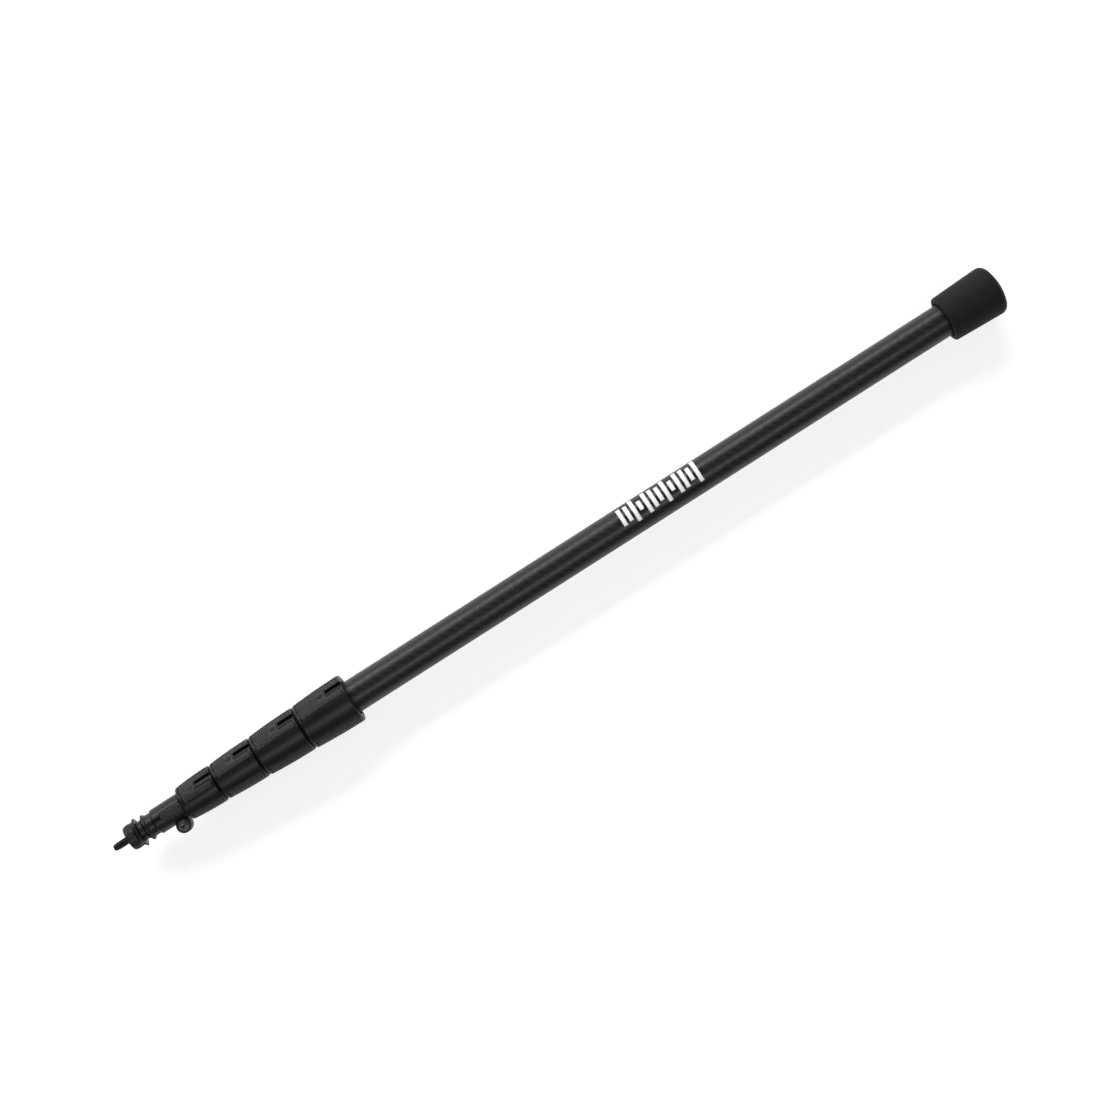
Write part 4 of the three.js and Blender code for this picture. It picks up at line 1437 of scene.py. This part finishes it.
class BOOM_OT_stud(bpy.types.Operator):
    """Makes the threaded stud, the knurled lock nut and its toothed washer."""

    bl_idname = "boom.stud"
    bl_label = "Stud and nut"

    lead_in, lead_step = 0.0008, 0.0004
    thread_start, thread_short = 0.0007, 0.0012
    bore_gap = 0.00015
    knurl_margin = 0.0006
    washer_step = 0.0001
    tooth, tooth_length, tooth_setback = 0.0007, 0.00055, 0.0003

    def execute(self, context):
        self.make_stud()
        self.make_nut()
        self.make_washer()
        return {"FINISHED"}

    def make_stud(self):
        tip = settings().tip
        steel = finish("dark_steel", steel_finish, "dark_steel", settings().finish.steel)
        front, back = span("mic_stud")
        radius = radius_of("mic_stud")
        root = radius - tip.thread_depth
        core = turned("stud_core", softened(
            [(front, 0.0), (front, root - self.lead_step, SMALL_ROUND),
             (front + self.lead_in, root, SMALL_ROUND), (back, root), (back, 0.0)]),
            closed=False)
        ridge = tip.thread_depth * 0.92
        thread = grown("stud_thread", tree_once("helical_thread", thread_tree),
                       start=front + self.thread_start,
                       length=back - front - self.thread_short,
                       radius=radius - ridge, pitch=tip.thread_pitch, ridge=ridge,
                       axis=AXIS, finish=steel)
        stud = joined("threaded_stud", [core, thread])
        settle(stud, steel, "section_5", "stud_steel", "mic_stud")

    def make_nut(self):
        tip = settings().tip
        alloy = finish("anodised_alloy", alloy_finish)
        front, back = span("lock_nut")
        radius = radius_of("lock_nut")
        core = radius - tip.nut_ridge * 0.6
        bore = radius_of("mic_stud") + self.bore_gap
        nut = turned("nut_core", softened(
            [(front, bore, EDGE_ROUND), (front, core, tip.nut_round), (back, core, EDGE_ROUND),
             (back, bore, EDGE_ROUND)], closed=True, steps=8))
        run = back - front - tip.nut_round - self.knurl_margin
        ridges = grown("nut_knurl", tree_once("teeth_in_a_ring", ring_tree),
                       place=front + tip.nut_round + run / 2, radius=radius - tip.nut_ridge,
                       count=tip.nut_ridges, width=tip.nut_ridge, length=run / 2 * 1.05,
                       height=tip.nut_ridge, axis=AXIS, finish=alloy)
        whole = joined("knurled_lock_nut", [nut, ridges])
        settle(whole, alloy, "lock_nut", "black_alloy", "lock_nut")

    def make_washer(self):
        tip = settings().tip
        alloy = finish("anodised_alloy", alloy_finish)
        front, back = span("nut_washer")
        radius = radius_of("nut_washer")
        tooth = self.tooth
        bore = radius_of("mic_stud") + self.bore_gap
        nose = radius_of("lock_nut") - self.washer_step
        rim = back - tip.washer_rim
        disc = turned("washer_disc", softened(
            [(front, bore, SMALL_ROUND), (front, nose, SMALL_ROUND),
             (rim, radius - tooth * 0.8, FINE_ROUND),
             (back, radius - tip.washer_rim - tooth, SMALL_ROUND), (back, bore, SMALL_ROUND)],
            closed=True))
        teeth = grown("washer_teeth", tree_once("teeth_in_a_ring", ring_tree),
                      place=rim - self.tooth_setback, radius=radius - tooth,
                      count=tip.washer_teeth, width=tooth * 0.85, length=self.tooth_length,
                      height=tooth, axis=AXIS, finish=alloy)
        whole = joined("toothed_washer", [disc, teeth])
        settle(whole, alloy, "nut_slide", "black_alloy", "nut_washer")


class BOOM_OT_clamp(bpy.types.Operator):
    """Makes the clamp screw, its washer and its nut."""

    bl_idname = "boom.clamp"
    bl_label = "Clamp screw"

    facet_share = 0.99
    washer_gap = 0.0002
    seat_gap = 0.00005
    chamfer_share, chamfer_height = 0.9, 0.0006
    socket_cone = 0.0006

    def execute(self, context):
        tip = settings().tip
        steel = finish("dark_zinc", steel_finish, "dark_zinc", settings().finish.screw)
        low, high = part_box("clamp_washer")
        centre = ((low[0] + high[0]) / 2, (low[1] + high[1]) / 2)
        self.make_washer(low, high, centre, steel)
        self.make_screw(centre, tip, steel)
        self.make_nut(centre, tip, steel)
        return {"FINISHED"}

    def make_washer(self, low, high, centre, steel):
        radius = (high[0] - low[0]) / 2 * self.facet_share
        bottom, top = low[2] - AXIS, high[2] - AXIS
        bore = settings().tip.screw_radius + self.washer_gap
        washer = upright("clamp_disc", centre, softened(
            [(bottom, bore), (bottom, radius, FINE_ROUND), (top, radius, FINE_ROUND), (top, bore),
             (bottom, bore)]))
        settle(washer, steel, "clamp_slide", "stud_steel", "clamp_washer")

    def make_screw(self, centre, tip, steel):
        low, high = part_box("clamp_screw")
        radius = (high[0] - low[0]) / 2 * self.facet_share
        bottom, top = low[2] - AXIS, high[2] - AXIS
        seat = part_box("clamp_washer")[1][2] - AXIS + self.seat_gap
        shank = tip.screw_radius
        screw = upright("socket_cap_screw", centre, softened(
            [(bottom, 0.0), (bottom, shank, EDGE_ROUND), (seat, shank), (seat, radius, FINE_ROUND),
             (top, radius, SOFT_ROUND), (top, 0.0)]))
        floor = top - tip.socket_depth
        socket = upright("socket", centre, [(floor - self.socket_cone, 0.0),
                                            (floor, tip.socket_radius),
                                            (top + OVERCUT, tip.socket_radius),
                                            (top + OVERCUT, 0.0)], sides=6)
        carve(screw, [socket])
        settle(screw, steel, "clamp_screw", "stud_steel", "clamp_screw")

    def make_nut(self, centre, tip, steel):
        low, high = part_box("clamp_nut")
        radius = (high[1] - low[1]) / 2
        bottom, top = low[2] - AXIS, high[2] - AXIS
        bore = tip.screw_radius + self.seat_gap
        hexagon = upright("hexagon_nut", centre, [(bottom, 0.0), (bottom, radius),
                                                  (top, radius), (top, 0.0)], sides=6)
        small, edge = radius * self.chamfer_share, self.chamfer_height
        chamfer = upright("chamfer", centre, softened(
            [(bottom, 0.0), (bottom, small, SMALL_ROUND), (bottom + edge, radius, SMALL_ROUND),
             (top - edge, radius, SMALL_ROUND), (top, small, SMALL_ROUND), (top, 0.0)]))
        carve(hexagon, [chamfer], "INTERSECT")
        hole = upright("hole", centre, [(bottom - OVERCUT, 0.0), (bottom - OVERCUT, bore),
                                        (top + OVERCUT, bore), (top + OVERCUT, 0.0)])
        carve(hexagon, [hole])
        settle(hexagon, steel, "section_5", "stud_steel", "clamp_nut")


# ---- Panel and registration --------------------------------------------------------------------


STEPS = (BOOM_OT_stage, BOOM_OT_tubes, BOOM_OT_collars, BOOM_OT_pads, BOOM_OT_marks,
         BOOM_OT_lock_inners, BOOM_OT_label, BOOM_OT_butt, BOOM_OT_tip_body, BOOM_OT_stud,
         BOOM_OT_clamp)


class BOOM_PT_panel(bpy.types.Panel):
    """Lists the sizes, the finishes and the steps."""

    bl_idname = "BOOM_PT_panel"
    bl_label = "Boom Pole"
    bl_space_type = "VIEW_3D"
    bl_region_type = "UI"
    bl_category = "Boom Pole"

    def draw(self, context):
        layout = self.layout
        for group in (settings().pole, settings().grip, settings().tip, settings().finish):
            box = layout.box()
            for key in group.__annotations__:
                box.prop(group, key)
        for step in STEPS:
            layout.operator(step.bl_idname)


CLASSES = (PoleSizes, GripSizes, TipSizes, Finishes, BoomPole, *STEPS, BOOM_PT_panel)


def register():
    for item in CLASSES:
        bpy.utils.register_class(item)
    bpy.types.Scene.boom_pole = PointerProperty(type=BoomPole)


def unregister():
    del bpy.types.Scene.boom_pole
    for item in reversed(CLASSES):
        bpy.utils.unregister_class(item)


def main():
    """Makes every piece in order."""
    register()
    for step in STEPS:
        group, name = step.bl_idname.split(".")
        getattr(getattr(bpy.ops, group), name)()


if __name__ == "__main__":
    main()
